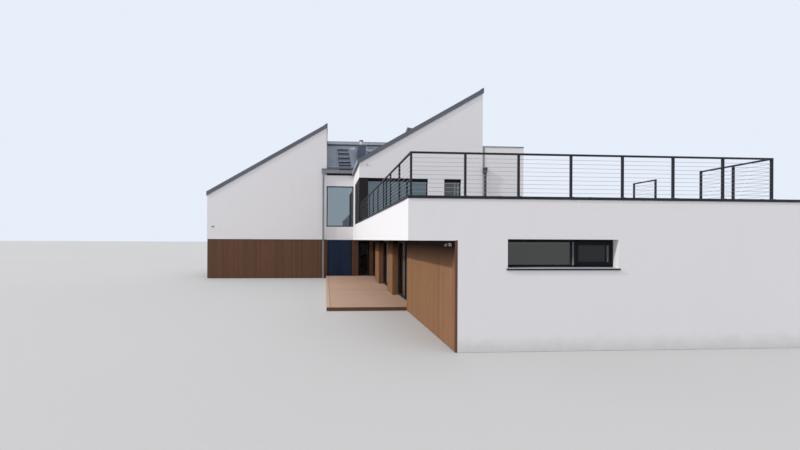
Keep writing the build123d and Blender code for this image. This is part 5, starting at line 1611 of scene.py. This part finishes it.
# Stage
def stage():
    """Pale floor, soft sky, sun and the photograph's camera."""
    settings = bpy.context.scene.house_stage
    scene = bpy.context.scene
    mesh = bpy.data.meshes.new("stage_floor")
    shape = bmesh.new()
    bmesh.ops.create_grid(shape, x_segments=8, y_segments=8, size=400)
    shape.to_mesh(mesh)
    shape.free()
    mesh.materials.append(finish("pale_floor"))
    floor = bpy.data.objects.new("stage_floor", mesh)
    floor.location.z = -0.005
    scene.collection.objects.link(floor)

    lamp = bpy.data.lights.new("sun", "SUN")
    lamp.energy = settings.sun
    lamp.angle = math.radians(1.2)
    lamp.color = (1.0, 0.975, 0.94)
    sun = bpy.data.objects.new("sun", lamp)
    sun.rotation_mode = "QUATERNION"
    sun.rotation_quaternion = Vector((1.16, 0.22, -0.68)).to_track_quat("-Z", "Y")
    scene.collection.objects.link(sun)

    world = bpy.data.worlds.new("sky")
    scene.world = world
    world.use_nodes = True
    tree = world.node_tree
    background = tree.nodes["Background"]
    path = tree.nodes.new("ShaderNodeLightPath")
    seen = path.outputs["Is Camera Ray"]
    for kind in ("Is Glossy Ray", "Is Transmission Ray"):
        either = tree.nodes.new("ShaderNodeMath")
        either.operation = "MAXIMUM"
        tree.links.new(seen, either.inputs[0])
        tree.links.new(path.outputs[kind], either.inputs[1])
        seen = either.outputs[0]
    mix = tree.nodes.new("ShaderNodeMix")
    mix.data_type = "RGBA"
    mix.inputs[6].default_value = (*shade((0.95, 0.95, 1.0), settings.sky), 1.0)
    mix.inputs[7].default_value = (0.80, 0.86, 0.96, 1.0)
    tree.links.new(seen, mix.inputs[0])
    tree.links.new(mix.outputs[2], background.inputs["Color"])
    background.inputs["Strength"].default_value = 1.0

    data = bpy.data.cameras.new("camera")
    data.sensor_width = 36.0
    data.lens = settings.lens
    data.shift_x = 0.0642
    data.shift_y = 0.0184
    data.clip_end = 500
    camera = bpy.data.objects.new("camera", data)
    camera.location = (CORNER_X - 0.07, CORNER_Y - 9.0, 2.73)
    camera.rotation_euler = (math.radians(90), math.radians(-0.25), math.radians(-3.516))
    scene.collection.objects.link(camera)
    scene.camera = camera
    scene.view_settings.view_transform = "Standard"


# Operators, in the order that main() calls them
WORK = (
    ("stage", "Stage", "Add the floor, the lights and the camera", stage),
    ("walls", "Walls and floors", "Give walls and floors their finishes and beads", walls),
    ("left_boards", "Left block boards", "Lay the boards of the left block", left_block_boards),
    ("terrace_boards", "Terrace boards", "Lay the boards beside the terrace", terrace_wall_boards),
    ("rear_boards", "Rear boards", "Lay the boards at the back of the terrace", rear_wall_boards),
    ("deck", "Deck", "Lay the deck", deck),
    ("left_roof", "Left roof", "Seam and edge the left roof", left_roof_sheets),
    ("right_roof", "Right roof", "Seam and edge the right roof", right_roof_sheets),
    ("link_roof", "Link roof", "Seam and edge the link's roof", link_roof_sheets),
    ("link_ridge", "Ridge", "Fold the vented ridge of the link's roof", link_ridge_cap),
    ("roof_steps", "Roof steps", "Add the steps on the link's roof", roof_steps),
    ("roof_windows", "Roof windows", "Build the roof windows", roof_window_units),
    ("chimney", "Chimney", "Clad the chimney", chimney_cladding),
    ("flue", "Flue and cowl", "Build the flue and trim the cowl", flue_and_cowl),
    ("gutter", "Gutter", "Build the link's gutter", gutter),
    ("downpipes", "Downpipes", "Build the downpipes", downpipes),
    ("copings", "Copings", "Fold the copings", copings),
    ("railings", "Railings", "Build the railings", railings),
    ("windows", "Windows", "Build window frames and sashes", window_units),
    ("panes", "Panes", "Set the window panes", window_panes),
    ("sills", "Sills", "Fold the window sills", window_sills),
    ("corner", "Corner cladding", "Finish the dark corner", corner_cladding),
    ("bays", "Terrace bays", "Build the glazed bays and their leaves", terrace_bays),
    ("rear_door", "Rear door", "Build the rear door", rear_door),
    ("shutter", "Shutter", "Build the closed shutter", shutter),
    ("paving", "Paving", "Pave the roof terrace", terrace_paving),
    ("lamps", "Lamps", "Add the outdoor lamps", lamps),
)


def make_operator(key, label, text, work):
    def execute(self, context):
        work()
        return {"FINISHED"}

    return type(f"HOUSE_OT_{key}", (bpy.types.Operator,),
                {"bl_idname": f"house.{key}", "bl_label": label, "__doc__": text, "execute": execute})


OPERATORS = [make_operator(*row) for row in WORK]


class HOUSE_PT_finishes(bpy.types.Panel):
    """Lists the settings and the steps of the house."""
    bl_label = "House"
    bl_idname = "HOUSE_PT_finishes"
    bl_space_type = "VIEW_3D"
    bl_region_type = "UI"
    bl_category = "House"

    def draw(self, context):
        for name, group in SETTINGS.items():
            box = self.layout.box()
            for key in group.__annotations__:
                box.prop(getattr(context.scene, name), key)
        for operator in OPERATORS:
            self.layout.operator(operator.bl_idname)


def register():
    for group in SETTINGS.values():
        bpy.utils.register_class(group)
    for name, group in SETTINGS.items():
        setattr(bpy.types.Scene, name, PointerProperty(type=group))
    for operator in OPERATORS:
        bpy.utils.register_class(operator)
    bpy.utils.register_class(HOUSE_PT_finishes)


def unregister():
    bpy.utils.unregister_class(HOUSE_PT_finishes)
    for operator in reversed(OPERATORS):
        bpy.utils.unregister_class(operator)
    for name in SETTINGS:
        delattr(bpy.types.Scene, name)
    for group in reversed(SETTINGS.values()):
        bpy.utils.unregister_class(group)


def main():
    register()
    for key, *_ in WORK:
        getattr(bpy.ops.house, key)()


if __name__ == "__main__":
    main()
